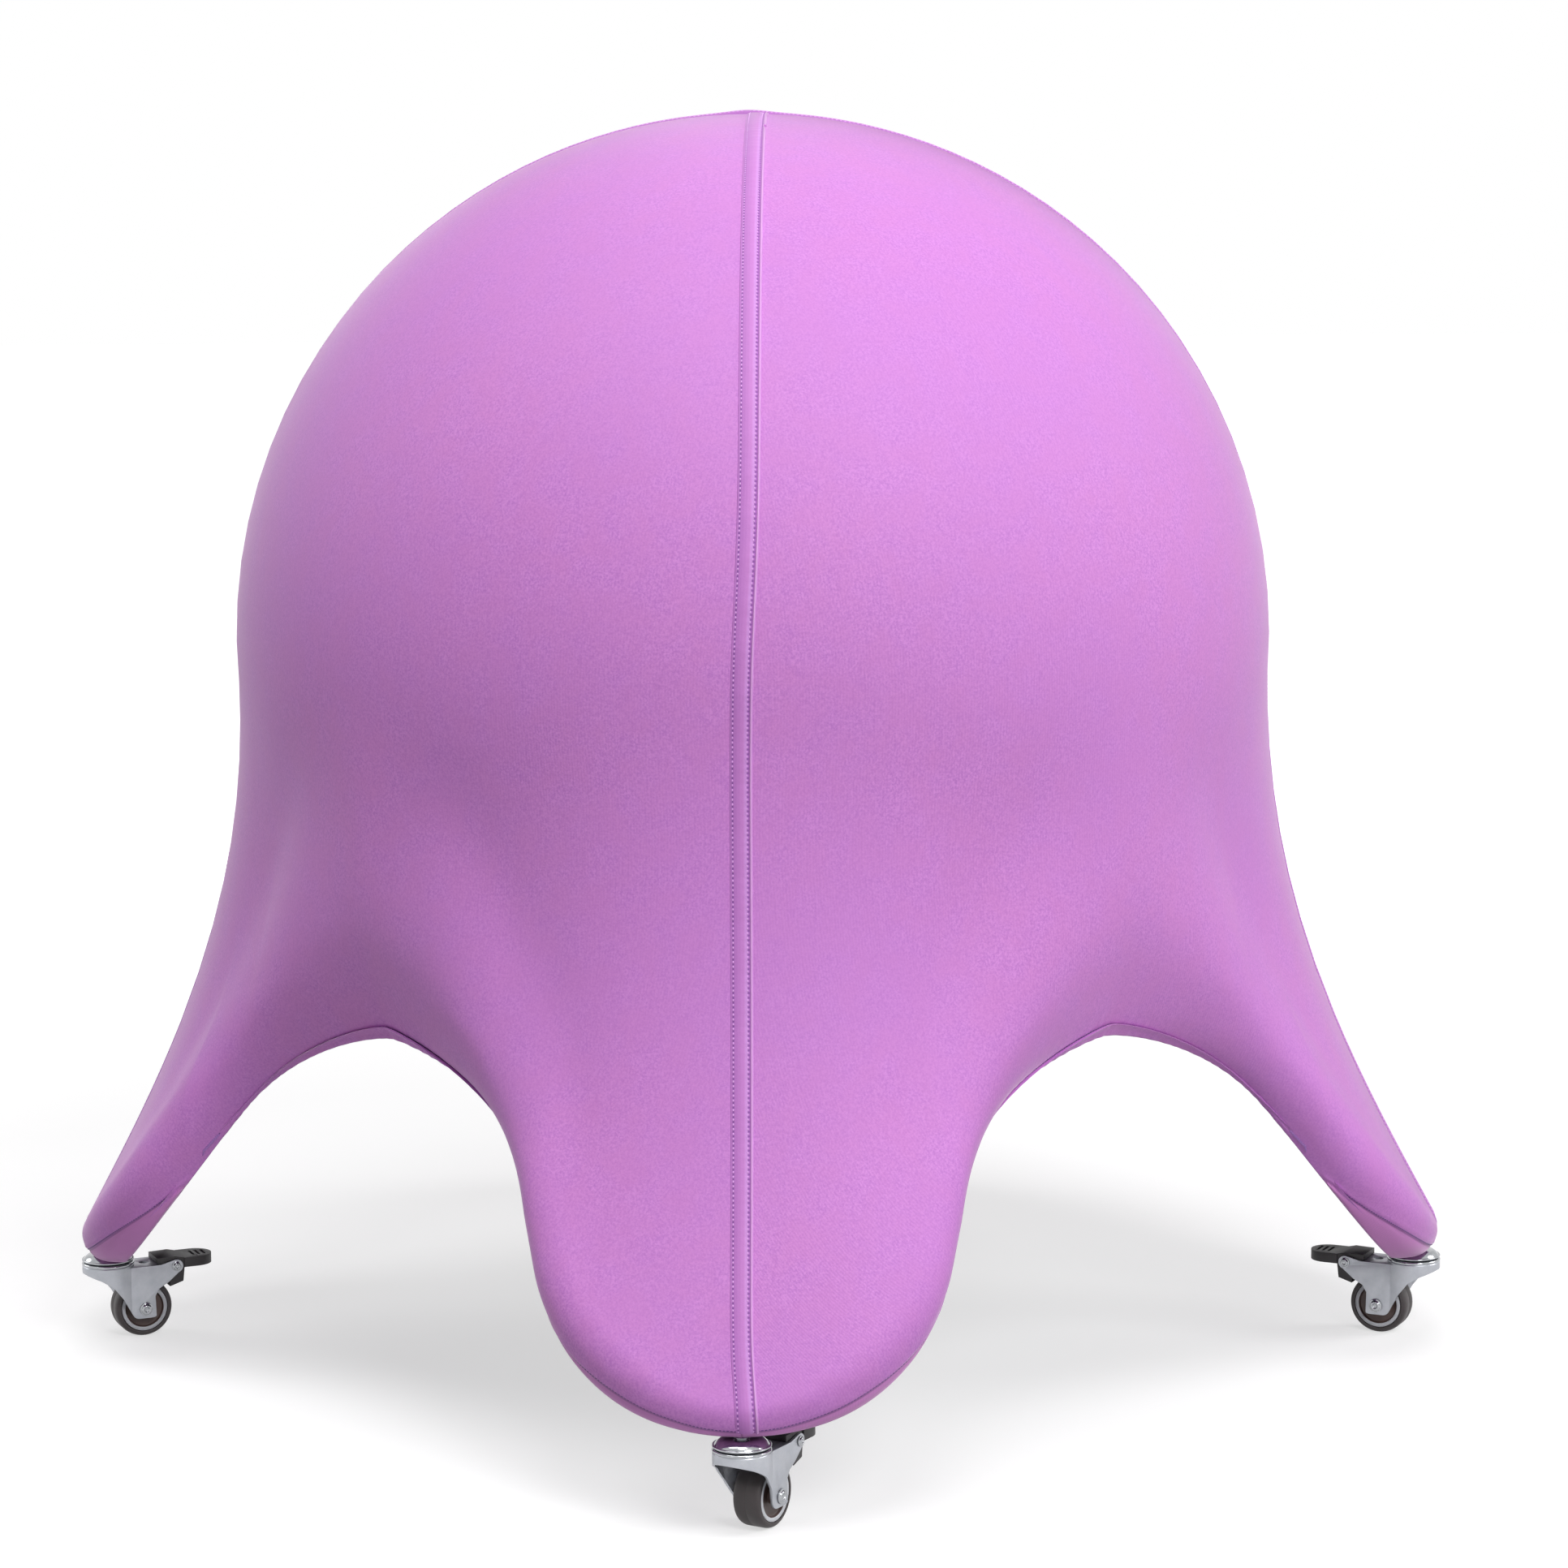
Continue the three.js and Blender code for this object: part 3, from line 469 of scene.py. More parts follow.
def half_hem(fineness):
    """The hem from the tip of a leg to the top of the arch beside it."""
    bend, side, arch = (c * fineness for c in (bend_columns, side_columns, arch_columns))
    points = []
    for k in range(bend + 1):
        share = k / bend
        blend = eased(min(1, share * 1.5))
        drop = hem_drop_tip + (hem_drop_side - hem_drop_tip) * blend
        turn = hoop_turn * share
        points.append(hoop_point(turn) + inward * hem_reach + out_at(turn) * drop)
    along = along_at(hoop_turn)
    corner = points[-1]
    for k in range(1, side + 1):
        points.append(corner + along * hem_side * k / side)
    leave = points[-1]
    slant = math.sqrt(0.5)
    top = np.array([slant * arch_radius, slant * arch_radius, arch_height])
    level = np.array([slant, -slant, 0]) * arch_top
    pull = leave + along * arch_leave
    for k in range(1, arch + 1):
        t = k / arch
        s = 1 - t
        points.append(s ** 3 * leave + 3 * s * s * t * pull
                      + 3 * s * t * t * (top + level) + t ** 3 * top)
    return np.array(points)


def first_guess(hem):
    """Over the ball, then outside and round the tube, to the hem."""
    rise = ball_radius + ball_lift
    middle = np.array([0, 0, ball_middle])
    shares = np.concatenate([[0], np.cumsum(row_lengths)])
    grid = []
    for column, end in enumerate(hem):
        azimuth = math.atan2(end[1], end[0])
        heading = np.array([math.cos(azimuth), math.sin(azimuth), 0])
        stops = [middle + heading * (rise + tube_radius)]
        if column <= bend_columns + side_columns:
            turn = hoop_turn * min(column, bend_columns) / bend_columns
            tube = hoop_point(turn)
            if column > bend_columns:
                tube = tube + along_at(turn) * hem_side
            wrap = tube_radius + tube_lift
            stops += [tube - inward * wrap, tube + out_at(turn) * wrap]
        stops.append(end)
        turns = np.linspace(0, math.pi / 2, 30)
        arc = [middle + rise * (heading * math.sin(t) + np.array([0, 0, math.cos(t)]))
               for t in turns]
        line = np.array(arc + stops)
        steps = length_along(line)
        places = shares / shares[-1] * steps[-1]
        grid.append(np.stack([np.interp(places, steps, line[:, a]) for a in range(3)], -1))
        grid[-1][-1] = end
    return np.array(grid)


def padded_rim():
    """Middle line and radius of the rim that the cloth rounds: the bare tube at the
    foot, and fuller up the sides of a leg, as if a foam sleeve padded it there."""
    turns = np.array([hoop_turn * k / 24 for k in range(-3, 25)])
    share = eased(np.clip(np.abs(turns) / rim_full, 0, 1))
    line = [hoop_point(turn) + (inward * rim_in - out_at(turn) * rim_out) * full
            for turn, full in zip(turns, share)]
    line.append(line[-1] + along_at(hoop_turn) * (hoop_side + rim_run_on))
    return np.array(line), tube_radius + tube_lift + rim_out * np.append(share, 1)


rim_line, rim_radius = padded_rim()


def push_off_rim(points, slack):
    start, step = rim_line[:-1], np.diff(rim_line, axis=0)
    offset = points[:, None] - start[None]
    share = np.clip((offset * step).sum(2) / (step * step).sum(1), 0, 1)
    gap = offset - share[..., None] * step
    least = rim_radius[:-1] + share * np.diff(rim_radius) + slack
    distance = np.linalg.norm(gap, axis=2)
    nearest = (distance - least).argmin(1)
    rows = np.arange(len(points))
    away, reach = gap[rows, nearest], distance[rows, nearest]
    least = least[rows, nearest]
    inside = reach < least
    points[inside] += away[inside] * (least[inside] / reach[inside] - 1)[:, None]
    return points


def settle(grid, fineness, passes, slack=0):
    """Every point goes to the weighted mean of its neighbours, off ball and tube."""
    hem = half_hem(fineness)
    rows = grid.shape[1] - 1
    lengths = np.repeat(row_lengths, fineness)
    spans = np.linalg.norm(np.diff(hem, axis=0), axis=1)
    spans = np.concatenate([spans[:1], spans, spans[-1:]])
    up = (long_row / lengths[:-1])[None, :, None]
    under = (long_row / lengths[1:])[None, :, None]
    height = (lengths[:-1] + lengths[1:]) / 2 / long_row
    wrapped = np.arange(1, rows) >= rows - wrap_rows * fineness
    pull = cross_pull * height * np.where(wrapped, wrap_pull, 1)
    mean_span = spans[1:-1].mean()
    before = (mean_span / spans[:-1])[:, None, None] * pull[None, :, None]
    after = (mean_span / spans[1:])[:, None, None] * pull[None, :, None]
    total = up + under + before + after
    middle = np.array([0, 0, ball_middle])
    rise = ball_radius + ball_lift
    grid[:, -1] = hem
    for _ in range(passes):
        left = np.concatenate([grid[1:2] * [1, -1, 1], grid[:-1]])
        right = np.concatenate([grid[1:], grid[-2:-1][..., [1, 0, 2]]])
        inner = (up * grid[:, :-2] + under * grid[:, 2:]
                 + before * left[:, 1:-1] + after * right[:, 1:-1]) / total
        offset = inner - middle
        reach = np.linalg.norm(offset, axis=2, keepdims=True)
        inner = middle + offset * np.maximum(1, rise / reach)
        low = inner[..., 2] < rim_zone
        inner[low] = push_off_rim(inner[low], slack)
        inner[0, :, 1] = 0
        inner[-1, :, :2] = inner[-1, :, :2].mean(1, keepdims=True)
        grid[:, 1:-1] = inner
    return grid


def refined(grid):
    """The same grid with every row and column halved."""
    for axis in (0, 1):
        a = grid if axis == 0 else grid.swapaxes(0, 1)
        b = np.empty((2 * len(a) - 1,) + a.shape[1:])
        b[::2] = a
        b[1::2] = (a[:-1] + a[1:]) / 2
        grid = b if axis == 0 else b.swapaxes(0, 1)
    return grid


def finer_columns(grid):
    """Twice the columns, on smooth curves that run on over the seams."""
    wide = np.concatenate([grid[1:2] * [1, -1, 1], grid, grid[-2:-1] * [-1, 1, 1]])
    fine = np.empty((2 * len(grid) - 1,) + grid.shape[1:])
    fine[::2] = grid
    fine[1::2] = (9 * (wide[1:-2] + wide[2:-1]) - wide[:-3] - wide[3:]) / 16
    return fine


# A wide grid spans the rim in chords, so it settles with some slack off the tube.
half = settle(first_guess(half_hem(1)), 1, 3000, slack=1.4 * mm)
half = settle(refined(half), 2, 900, slack=0.6 * mm)
half = settle(refined(half), 4, 700)
panel = np.concatenate([half, half[-2::-1][..., [1, 0, 2]]])
panel = finer_columns(finer_columns(panel))


def outward(grid):
    """Unit normals away from the ball, true in the plane of each seam."""
    left = np.concatenate([grid[1:2] * [1, -1, 1], grid[:-1]])
    right = np.concatenate([grid[1:], grid[-2:-1] * [-1, 1, 1]])
    fall = np.empty_like(grid)
    fall[:, 1:-1] = grid[:, 2:] - grid[:, :-2]
    fall[:, 0] = grid[:, 1] - grid[:, 0]
    fall[:, -1] = grid[:, -1] - grid[:, -2]
    normal = np.cross(fall, right - left)
    normal[:, 0] = [0, 0, 1]
    return normal / np.linalg.norm(normal, axis=2, keepdims=True)


def row_distance(grid):
    """How far each point lies from the hem, along its own column."""
    steps = np.linalg.norm(np.diff(grid, axis=1), axis=2)
    return np.concatenate([np.cumsum(steps[:, ::-1], axis=1)[:, ::-1],
                           np.zeros((len(grid), 1))], axis=1)


def turned(points, leg):
    """The same points on another leg, a quarter turn on each time."""
    cosine, sine = [(1, 0), (0, 1), (-1, 0), (0, -1)][leg]
    matrix = np.array([[cosine, -sine, 0], [sine, cosine, 0], [0, 0, 1]])
    return points @ matrix.T


def laid_grid(points, marks, closed=False):
    """A bmesh grid laid on the points, with marks across and along as its UV map."""
    wide, tall = points.shape[:2]
    bm = bmesh.new()
    bmesh.ops.create_grid(bm, x_segments=tall - 1, y_segments=wide - 1, size=1)
    for vert, spot in zip(bm.verts, points.reshape(-1, 3)):
        vert.co = spot
    bm.verts.index_update()
    layer = bm.loops.layers.uv.new("cloth_metres")
    marks = marks.reshape(-1, 2)
    for face in bm.faces:
        for loop in face.loops:
            loop[layer].uv = marks[loop.vert.index]
    if closed:
        bmesh.ops.remove_doubles(bm, verts=bm.verts, dist=1e-6)
        bmesh.ops.holes_fill(bm, edges=bm.edges, sides=0)
        bmesh.ops.recalc_face_normals(bm, faces=bm.faces)
    return bm


# Knitted polyester with elastane, dyed: matt and finely grained, with a soft
# pale sheen from its fuzz, a heathered speckle, faint wales, and dye that took a
# little redder or bluer from place to place. The wales are drawn 1.5 mm apart,
# three times as coarse as real ones, so that they show. A wave node repeats
# every tenth of pi over its scale.
grain_size = 0.9 * mm
speckle_size = 1.2 * mm
blotch_size = 16 * mm
drift_size = 160 * mm
wale_spacing = 1.5 * mm


def knit(name, dark, light, cool, warm):
    """The cover's cloth: its yarn between two tones, and its dye cooler or warmer."""
    material, tree, shader = new_material(name)
    shader.inputs["Roughness"].default_value = 0.68
    shader.inputs["IOR"].default_value = 1.5
    shader.inputs["Sheen Weight"].default_value = 0.6
    shader.inputs["Sheen Roughness"].default_value = 0.3
    shader.inputs["Sheen Tint"].default_value = linear("fdeefa")
    coords = add(tree, "ShaderNodeTexCoord")
    grain, speckle, blotch, dye = [
        add(tree, "ShaderNodeTexNoise", {"Vector": coords.outputs["Object"], "Scale": 1 / size,
                                         "Detail": detail, "Roughness": roughness})
        for size, detail, roughness in ((grain_size, 3, 0.65), (speckle_size, 2, 0.7),
                                        (blotch_size, 2, 0.5), (drift_size, 2, 0.5))
    ]
    wale = add(tree, "ShaderNodeTexWave", {"Vector": coords.outputs["UV"], "Detail": 2.0,
                                           "Scale": math.pi / 10 / wale_spacing,
                                           "Distortion": 1.2, "Detail Scale": 1.5})
    heather = add(tree, "ShaderNodeMapRange", {"Value": speckle.outputs["Fac"],
                                               "From Min": 0.34, "From Max": 0.66})
    tone = add(tree, "ShaderNodeMix", {0: heather.outputs[0], 6: linear(dark),
                                       7: linear(light)}, data_type="RGBA")
    for pattern, most, dyed in ((blotch, 0.45, warm), (dye, 0.4, cool)):
        drift = add(tree, "ShaderNodeMapRange", {"Value": pattern.outputs["Fac"],
                                                 "From Min": 0.35, "From Max": 0.65,
                                                 "To Max": most})
        tone = add(tree, "ShaderNodeMix", {0: drift.outputs[0], 6: tone.outputs[2],
                                           7: linear(dyed)}, data_type="RGBA")
    height = add(tree, "ShaderNodeMath", {0: wale.outputs["Fac"], 1: 0.35,
                                          2: grain.outputs["Fac"]}, operation="MULTIPLY_ADD")
    textured(tree, shader, relief=(height, 0.3, 0.25 * mm))
    return material, tree, shader, coords, tone


cloth_tones = ("bb73c6", "d48cd7", "c07ccf", "cc80c8")
cover_cloth, tree, shader, coords, tone = knit("knitted_stretch_cloth", *cloth_tones)
# The sole is cut from the same cloth across the grain, so it looks a shade
# pinker. Dark needle lines show where it joins the side and along each hem.
seam_blend = 0.4 * mm
needle_core = 0.3 * mm
needle_edge = 0.9 * mm
sole = add(tree, "ShaderNodeAttribute", attribute_name="above_sole_seam")
share = add(tree, "ShaderNodeMapRange", {"Value": sole.outputs["Fac"], "From Min": 0.0,
                                         "From Max": seam_blend, "To Min": 1.0, "To Max": 0.0})
pinker = add(tree, "ShaderNodeMix", {0: share.outputs[0], 6: tone.outputs[2],
                                     7: linear("cb84c8")}, data_type="RGBA")
needle = add(tree, "ShaderNodeAttribute", attribute_name="above_needle_row")
away = add(tree, "ShaderNodeMath", {0: needle.outputs["Fac"]}, operation="ABSOLUTE")
line = add(tree, "ShaderNodeMapRange", {"Value": away.outputs[0], "From Min": needle_core,
                                        "From Max": needle_edge, "To Min": 0.55,
                                        "To Max": 0.0})
seamed = add(tree, "ShaderNodeMix", {0: line.outputs[0], 6: pinker.outputs[2],
                                     7: linear("6d3a80")}, data_type="RGBA")
tree.links.new(seamed.outputs[2], shader.inputs["Base Color"])

columns, rows = panel.shape[:2]
centre_column = columns // 2
bend_end = centre_column * bend_columns // (bend_columns + side_columns + arch_columns)
normals = outward(panel)
from_hem = row_distance(panel)
width = np.linalg.norm(np.diff(panel, axis=0), axis=2)
run = np.concatenate([np.zeros((1, rows)), np.cumsum(width, axis=0)])
along_hem = run[:, -1]

# The panel's sewn edges: a groove where each row of stitches draws it in, a
# fuller fold below the hem's row, and the sole piece that bulges under each leg.
# Over each arch the tubes hold the cloth out and the hem draws it in, so a soft
# crest runs from leg to leg with shade below it.
sole_width = 21.5 * mm
sole_taper = 2.6
sole_bulge = 1.1 * mm
seam_groove = 0.55 * mm
seam_lip = 0.45 * mm
lip_middle = 2.2 * mm
lip_width = 1.5 * mm
stitch_draw = 0.9 * mm
hem_stitches = 6.5 * mm
hem_groove = 0.4 * mm
hem_fullness = 0.5 * mm
tack_column = bend_end + 9
hem_lead = 2
hem_fade = 3
pucker_length = 8.5 * mm
pucker_drift = 3.7 * pucker_length
pucker_height = 0.18 * mm
pucker_fade = 9 * mm
crest_start = 0.45
crest_growth = 1.1
crest_height = 13 * mm
crest_at_leg = 34 * mm
crest_at_top = 60 * mm
crest_round = 0.15
crest_span = 1.01
crest_fade = 1.9
thinnest_sole = 1 * mm
far = 1.0
from_leg = np.minimum(np.arange(columns), columns - 1 - np.arange(columns)) / bend_end
sole_seam = sole_width * (1 - np.minimum(from_leg, 1) ** sole_taper)
on_leg = (from_leg < 1)[:, None]
above_sole = np.where(on_leg, from_hem - sole_seam[:, None], far)
bulge = np.clip(from_hem / np.maximum(sole_seam, thinnest_sole)[:, None], 0, 1)
relief = np.where(above_sole < 0, sole_bulge * np.sin(math.pi * bulge) ** 0.7, 0)
relief -= seam_groove * np.exp(-(above_sole / stitch_draw) ** 2)
relief += seam_lip * np.exp(-((above_sole - lip_middle) / lip_width) ** 2)
free_hem = np.clip((from_leg * bend_end - tack_column + hem_lead) / hem_fade, 0, 1)[:, None]
relief -= free_hem * hem_groove * np.exp(-((from_hem - hem_stitches) / stitch_draw) ** 2)
fold = np.clip(from_hem / hem_stitches, 0, 1)
relief += free_hem * hem_fullness * np.sin(math.pi * fold) ** 0.5 * (from_hem < hem_stitches)
waves = np.sin(2 * math.pi * along_hem / pucker_length
               + 1.3 * np.sin(2 * math.pi * along_hem / pucker_drift))[:, None]
relief += free_hem * pucker_height * waves * np.exp(-from_hem / pucker_fade)
over_arch = eased(np.clip((from_leg - crest_start) / crest_growth, 0, 1))[:, None]
climb = from_hem / (crest_at_leg + (crest_at_top - crest_at_leg) * over_arch)
below_crest = crest_span - np.sqrt((climb - 1) ** 2 + crest_round ** 2)
below_crest /= crest_span - crest_round
above_crest = 0.5 + 0.5 * np.cos(math.pi * np.clip((climb - 1) / crest_fade, 0, 1))
relief += crest_height * over_arch * np.where(climb < 1, below_crest, above_crest)
skin = panel + normals * (cloth + relief)[..., None]
sole_columns = bend_end * 7 // 8
above_needle = np.where(free_hem > 0.5, from_hem - hem_stitches, far)
above_needle = np.where((from_leg * bend_end < sole_columns)[:, None], above_sole, above_needle)

marks = np.stack([run - run[centre_column], from_hem], -1)
for leg, name in enumerate(panel_names):
    bm = laid_grid(turned(skin, leg), marks)
    for layer_name, values in (("above_sole_seam", above_sole),
                               ("above_needle_row", above_needle)):
        layer = bm.verts.layers.float.new(layer_name)
        for vert, value in zip(bm.verts, values.reshape(-1)):
            vert[layer] = value
    piece = finished(bm, f"cover_cloth_{name}", cover_cloth, "frame",
                     [f"cover_panel_{name}"], sharp=80)
    thick = piece.modifiers.new("thickness", "SOLIDIFY")
    thick.thickness = cloth
    thick.offset = -1

# Leg seams. The panels are joined by a flat-felled seam that runs down each leg
# over a piping cord: a raised band with a row of stitches at each edge and the
# cord's ridge beside the second, coloured with painted shade in its folds and a
# painted highlight on the ridge. It wanders a little, as such seams do, and ends
# square at the sole.
stitch_pitch = 2.3 * mm
left_stitches = -1.3 * mm
right_stitches = 5.6 * mm
hole_shift = 0.45 * mm
# Painted light across the band, in millimetres from its middle: painted shade at its edges and in
# the gap before the ridge, a darker and a lighter side of its roll, and a painted highlight on the
# ridge.
shading_from, shading_to = -3, 9
band_painted_light = [
    (-2.0, "c07ccb"), (-0.6, "b471c0"), (2.0, "be79c6"), (3.8, "c781cd"), (4.9, "d39ae2"),
    (5.7, "bf7dcd"), (6.5, "b572c4"), (7.0, "c586ce"), (7.4, "e6b8ea"), (7.8, "d79add"),
]
band_profile = [
    (-2.9, -0.7), (-2.7, 0.05), (-2.3, 0.4), (-1.3, 0.36), (-0.4, 0.75), (2.2, 0.8),
    (4.9, 0.75), (5.8, 0.36), (6.5, 0.3), (6.85, 0.85), (7.35, 1.25), (7.85, 1.0),
    (8.2, 0.4), (8.3, -0.1), (8.1, -0.7),
]
band_ends = ["back_front", "right_left"]
crossing_rise = 1.2 * mm
crossing_reach = 13 * mm
seam_wander = 2.6 * mm
wander_turn = 390 * mm
wander_run = 50 * mm
wander_back = 30 * mm
ridge_pucker = 0.12 * mm
pucker_pitch = 2.2 * stitch_pitch
pucker_middle = 4.6
pucker_width = 1.4
stitch_rise = 0.52 * mm
look_ahead = 1 * mm
hole_core = 0.2 * mm
hole_edge = 0.7 * mm
twist_length = 0.5 * mm

down_leg = from_hem[0, 0] - from_hem[0]
seam_length = down_leg[-1] - sole_width
on_ball = 60 * mm


def seam_place(distance, beside, height):
    """A point and its outward way, down the leg from the top and beside its middle."""
    beside -= seam_wander * math.tanh((distance - wander_turn) / wander_run)
    beside += seam_wander * math.exp(-((distance - seam_length) / wander_back) ** 2)
    if distance < on_ball:
        turn, lean = distance / (ball_radius + cloth), beside / (ball_radius + cloth)
        way = np.array([math.sin(turn) * math.cos(lean), math.sin(lean),
                        math.cos(turn) * math.cos(lean)])
        rise = ball_radius + ball_lift + cloth + height
        return way * rise + [0, 0, ball_middle], way
    row = np.interp(distance, down_leg, np.arange(rows))
    low = min(int(row), rows - 2)
    spot, way = np.zeros(3), np.zeros(3)
    for k, weight in ((low, low + 1 - row), (low + 1, row - low)):
        near = slice(0, bend_end // 2)
        for values, total in ((panel, spot), (normals, way)):
            for axis in range(3):
                total[axis] += weight * np.interp(abs(beside), run[near, k],
                                                  values[near, k, axis])
    mirror = np.array([1, math.copysign(1, beside), 1])
    way = way / np.linalg.norm(way)
    return (spot + way * (cloth + height)) * mirror, way * mirror


def felled_cloth():
    """The same cloth four layers thick, with painted shade in its folds and a painted highlight on
    its ridge.
    """
    material, tree, shader, coords, tone = knit("felled_seam_cloth", "bd76c8", "cd86d2",
                                                "bd7acd", "c97ec6")
    places = add(tree, "ShaderNodeSeparateXYZ", {0: coords.outputs["UV"]})
    beside, along = places.outputs[0], places.outputs[1]
    share = add(tree, "ShaderNodeMapRange", {"Value": beside, "From Min": shading_from * mm,
                                             "From Max": shading_to * mm})
    shade = add(tree, "ShaderNodeValToRGB", {0: share.outputs[0]})
    stops = shade.color_ramp.elements
    # The ramp's two ends are painted shade along the band's edges.
    for spot, code in zip(stops, ("a464b0", "ac6ab8")):
        spot.color = linear(code)
    for millimetres, code in band_painted_light:
        place = (millimetres - shading_from) / (shading_to - shading_from)
        stops.new(place).color = linear(code)
    # Three quarters of the colour is this painted shade and highlight, over the cloth's own tone.
    shaded_band = add(tree, "ShaderNodeMix", {0: 0.75, 6: tone.outputs[2],
                                         7: shade.outputs[0]}, data_type="RGBA")
    colour = shaded_band.outputs[2]
    phase = add(tree, "ShaderNodeMath", {0: along, 1: 2 * math.pi / stitch_pitch},
                operation="MULTIPLY")
    between = add(tree, "ShaderNodeMath", {0: phase.outputs[0]}, operation="COSINE")
    for row in (left_stitches, right_stitches + hole_shift):
        away = add(tree, "ShaderNodeMath", {0: beside, 1: row}, operation="SUBTRACT")
        away = add(tree, "ShaderNodeMath", {0: away.outputs[0]}, operation="ABSOLUTE")
        near = add(tree, "ShaderNodeMapRange", {"Value": away.outputs[0], "To Min": 1.0,
                                                "From Min": hole_core, "To Max": 0.0,
                                                "From Max": hole_edge})
        hole = add(tree, "ShaderNodeMapRange", {"Value": between.outputs[0],
                                                "From Min": -0.3, "From Max": 0.7,
                                                "To Min": 0.15, "To Max": 0.95})
        dark = add(tree, "ShaderNodeMath", {0: near.outputs[0], 1: hole.outputs[0]},
                   operation="MULTIPLY")
        holed = add(tree, "ShaderNodeMix", {0: dark.outputs[0], 6: colour,
                                            7: linear("834a9b")}, data_type="RGBA")
        colour = holed.outputs[2]
    tree.links.new(colour, shader.inputs["Base Color"])
    return material


def thread(name, dark, light):
    """Polyester sewing thread: its twist is uneven in tone and has a slight lustre."""
    material, tree, shader = mottled(name, twist_length, 2, dark, light)[:3]
    shader.inputs["Roughness"].default_value = 0.5
    shader.inputs["Sheen Weight"].default_value = 0.3
    return material


band_cloth = felled_cloth()
hem_cloth, tree, shader, coords, tone = knit("turned_hem_cloth", *cloth_tones)
tree.links.new(tone.outputs[2], shader.inputs["Base Color"])
pale_thread = thread("pale_polyester_thread", "d693e0", "ecbbf1")
dark_thread = thread("purple_polyester_thread", "59307a", "7a4794")
tack_thread = thread("satin_polyester_thread", "9158ae", "b684cc")
stitch_size = (0.62 * mm, 0.36 * mm, 0.3 * mm)
band_steps = int(seam_length / stitch_pitch) * 2

for pair, name in enumerate(band_ends):
    lift = crossing_rise * pair
    leg = 3 if pair == 0 else 0
    half_band, half_marks = [], []
    for k in range(band_steps + 1):
        distance = seam_length * k / band_steps
        rise = lift * math.exp(-(distance / crossing_reach) ** 2)
        left_over = seam_length - distance
        pucker = ridge_pucker * math.sin(2 * math.pi * distance / pucker_pitch)
        line, line_marks = [], []
        for beside, height in band_profile:
            drawn = pucker * math.exp(-((beside - pucker_middle) / pucker_width) ** 2)
            spot, way = seam_place(distance, beside * mm, height * mm + drawn)
            if height > 0:
                spot = spot + way * rise
            line.append(spot)
            line_marks.append((beside * mm, left_over))
        half_band.append(line + line[:1])
        half_marks.append(line_marks + line_marks[:1])
    half_band, half_marks = np.array(half_band), np.array(half_marks)
    band = np.concatenate([half_band[::-1], half_band[1:] * [-1, 1, 1]])
    marks = np.concatenate([half_marks[::-1], half_marks[1:]])
    bm = laid_grid(turned(band, leg), marks, closed=True)
    finished(bm, f"leg_seam_band_{name}", band_cloth, "frame", sharp=60)

    bm = bmesh.new()
    for row in (left_stitches, right_stitches):
        for k in range(int(seam_length / stitch_pitch)):
            distance = seam_length - (k + 0.5) * stitch_pitch
            rise = lift * math.exp(-(distance / crossing_reach) ** 2) + stitch_rise
            spot, way = seam_place(distance, row, rise)
            ahead = seam_place(distance + look_ahead, row, rise)[0]
            fall = Vector(ahead - spot).normalized()
            for mirror in ((1, 1, 1), (-1, 1, 1)):
                here = turned(spot * mirror, leg)
                along = turned(np.array(fall) * mirror, leg)
                beside = Vector(turned(way * mirror, leg)).cross(Vector(along))
                pressed_bead(bm, here, along, beside, stitch_size, 1)
    bmesh.ops.recalc_face_normals(bm, faces=bm.faces)
    finished(bm, f"leg_seam_stitches_{name}", pale_thread, "frame")

# Hem and sole stitches. The cloth is turned under along each arch and caught
# with a row of purple thread; the same thread joins each sole piece. A short
# satin bar-tack with a hooked end holds each end of the hem.
hem_pitch = 1.8 * mm
hem_stitch = (0.66 * mm, 0.42 * mm, 0.3 * mm)
sole_stitch = (0.7 * mm, 0.42 * mm, 0.3 * mm)
tack_stitches = 19
tack_hook = 4
tack_pitch = 0.7 * mm
tack_stitch = (1.05 * mm, 0.4 * mm, 0.36 * mm)
tack_rise = 0.3 * mm
tack_climb = 0.08 * mm
tack_slant = 0.3
hook_drop = 0.75 * mm
row_rise = 0.12 * mm
line_rise = 0.1 * mm
half_look = 0.5 * mm
sole_row = 0.9 * mm
fold_depth = 9
fold_girth = 20 * mm
fold_profile = [(0.5, 0.3), (-0.6, 0.7), (-0.9, 1.4), (-0.4, 2.1), (1.5, 2.5),
                (fold_depth, 2.4), (fold_depth, 1.2), (1.5, 0.9)]


def cloth_place(column, distance, height):
    """A point of the panel by its column and its way up from the hem."""
    low = min(int(column), columns - 2)
    spots = []
    for k in (low, low + 1):
        values = np.concatenate([skin[k], normals[k]], axis=1)
        spots.append([np.interp(distance, from_hem[k, ::-1], values[::-1, a]) for a in range(6)])
    mixed = np.array(spots[0]) * (low + 1 - column) + np.array(spots[1]) * (column - low)
    way = mixed[3:] / np.linalg.norm(mixed[3:])
    return mixed[:3] + way * height, way


def sewn_line(bm, columns_at, distances_at, size, pitch):
    """Stitches at an even pitch along a line drawn on the panel."""
    line = np.array([cloth_place(c, d, line_rise)[0] for c, d in zip(columns_at, distances_at)])
    steps = length_along(line)
    for place in np.arange(pitch / 2, steps[-1], pitch):
        column = np.interp(place, steps, columns_at)
        distance = np.interp(place, steps, distances_at)
        spot, way = cloth_place(column, distance, row_rise)
        ahead = np.array([np.interp(place + half_look, steps, line[:, a]) for a in range(3)])
        behind = np.array([np.interp(place - half_look, steps, line[:, a]) for a in range(3)])
        along = Vector(ahead - behind).normalized()
        beside = Vector(way).cross(along).normalized()
        pressed_bead(bm, spot, along, beside, size, 1)


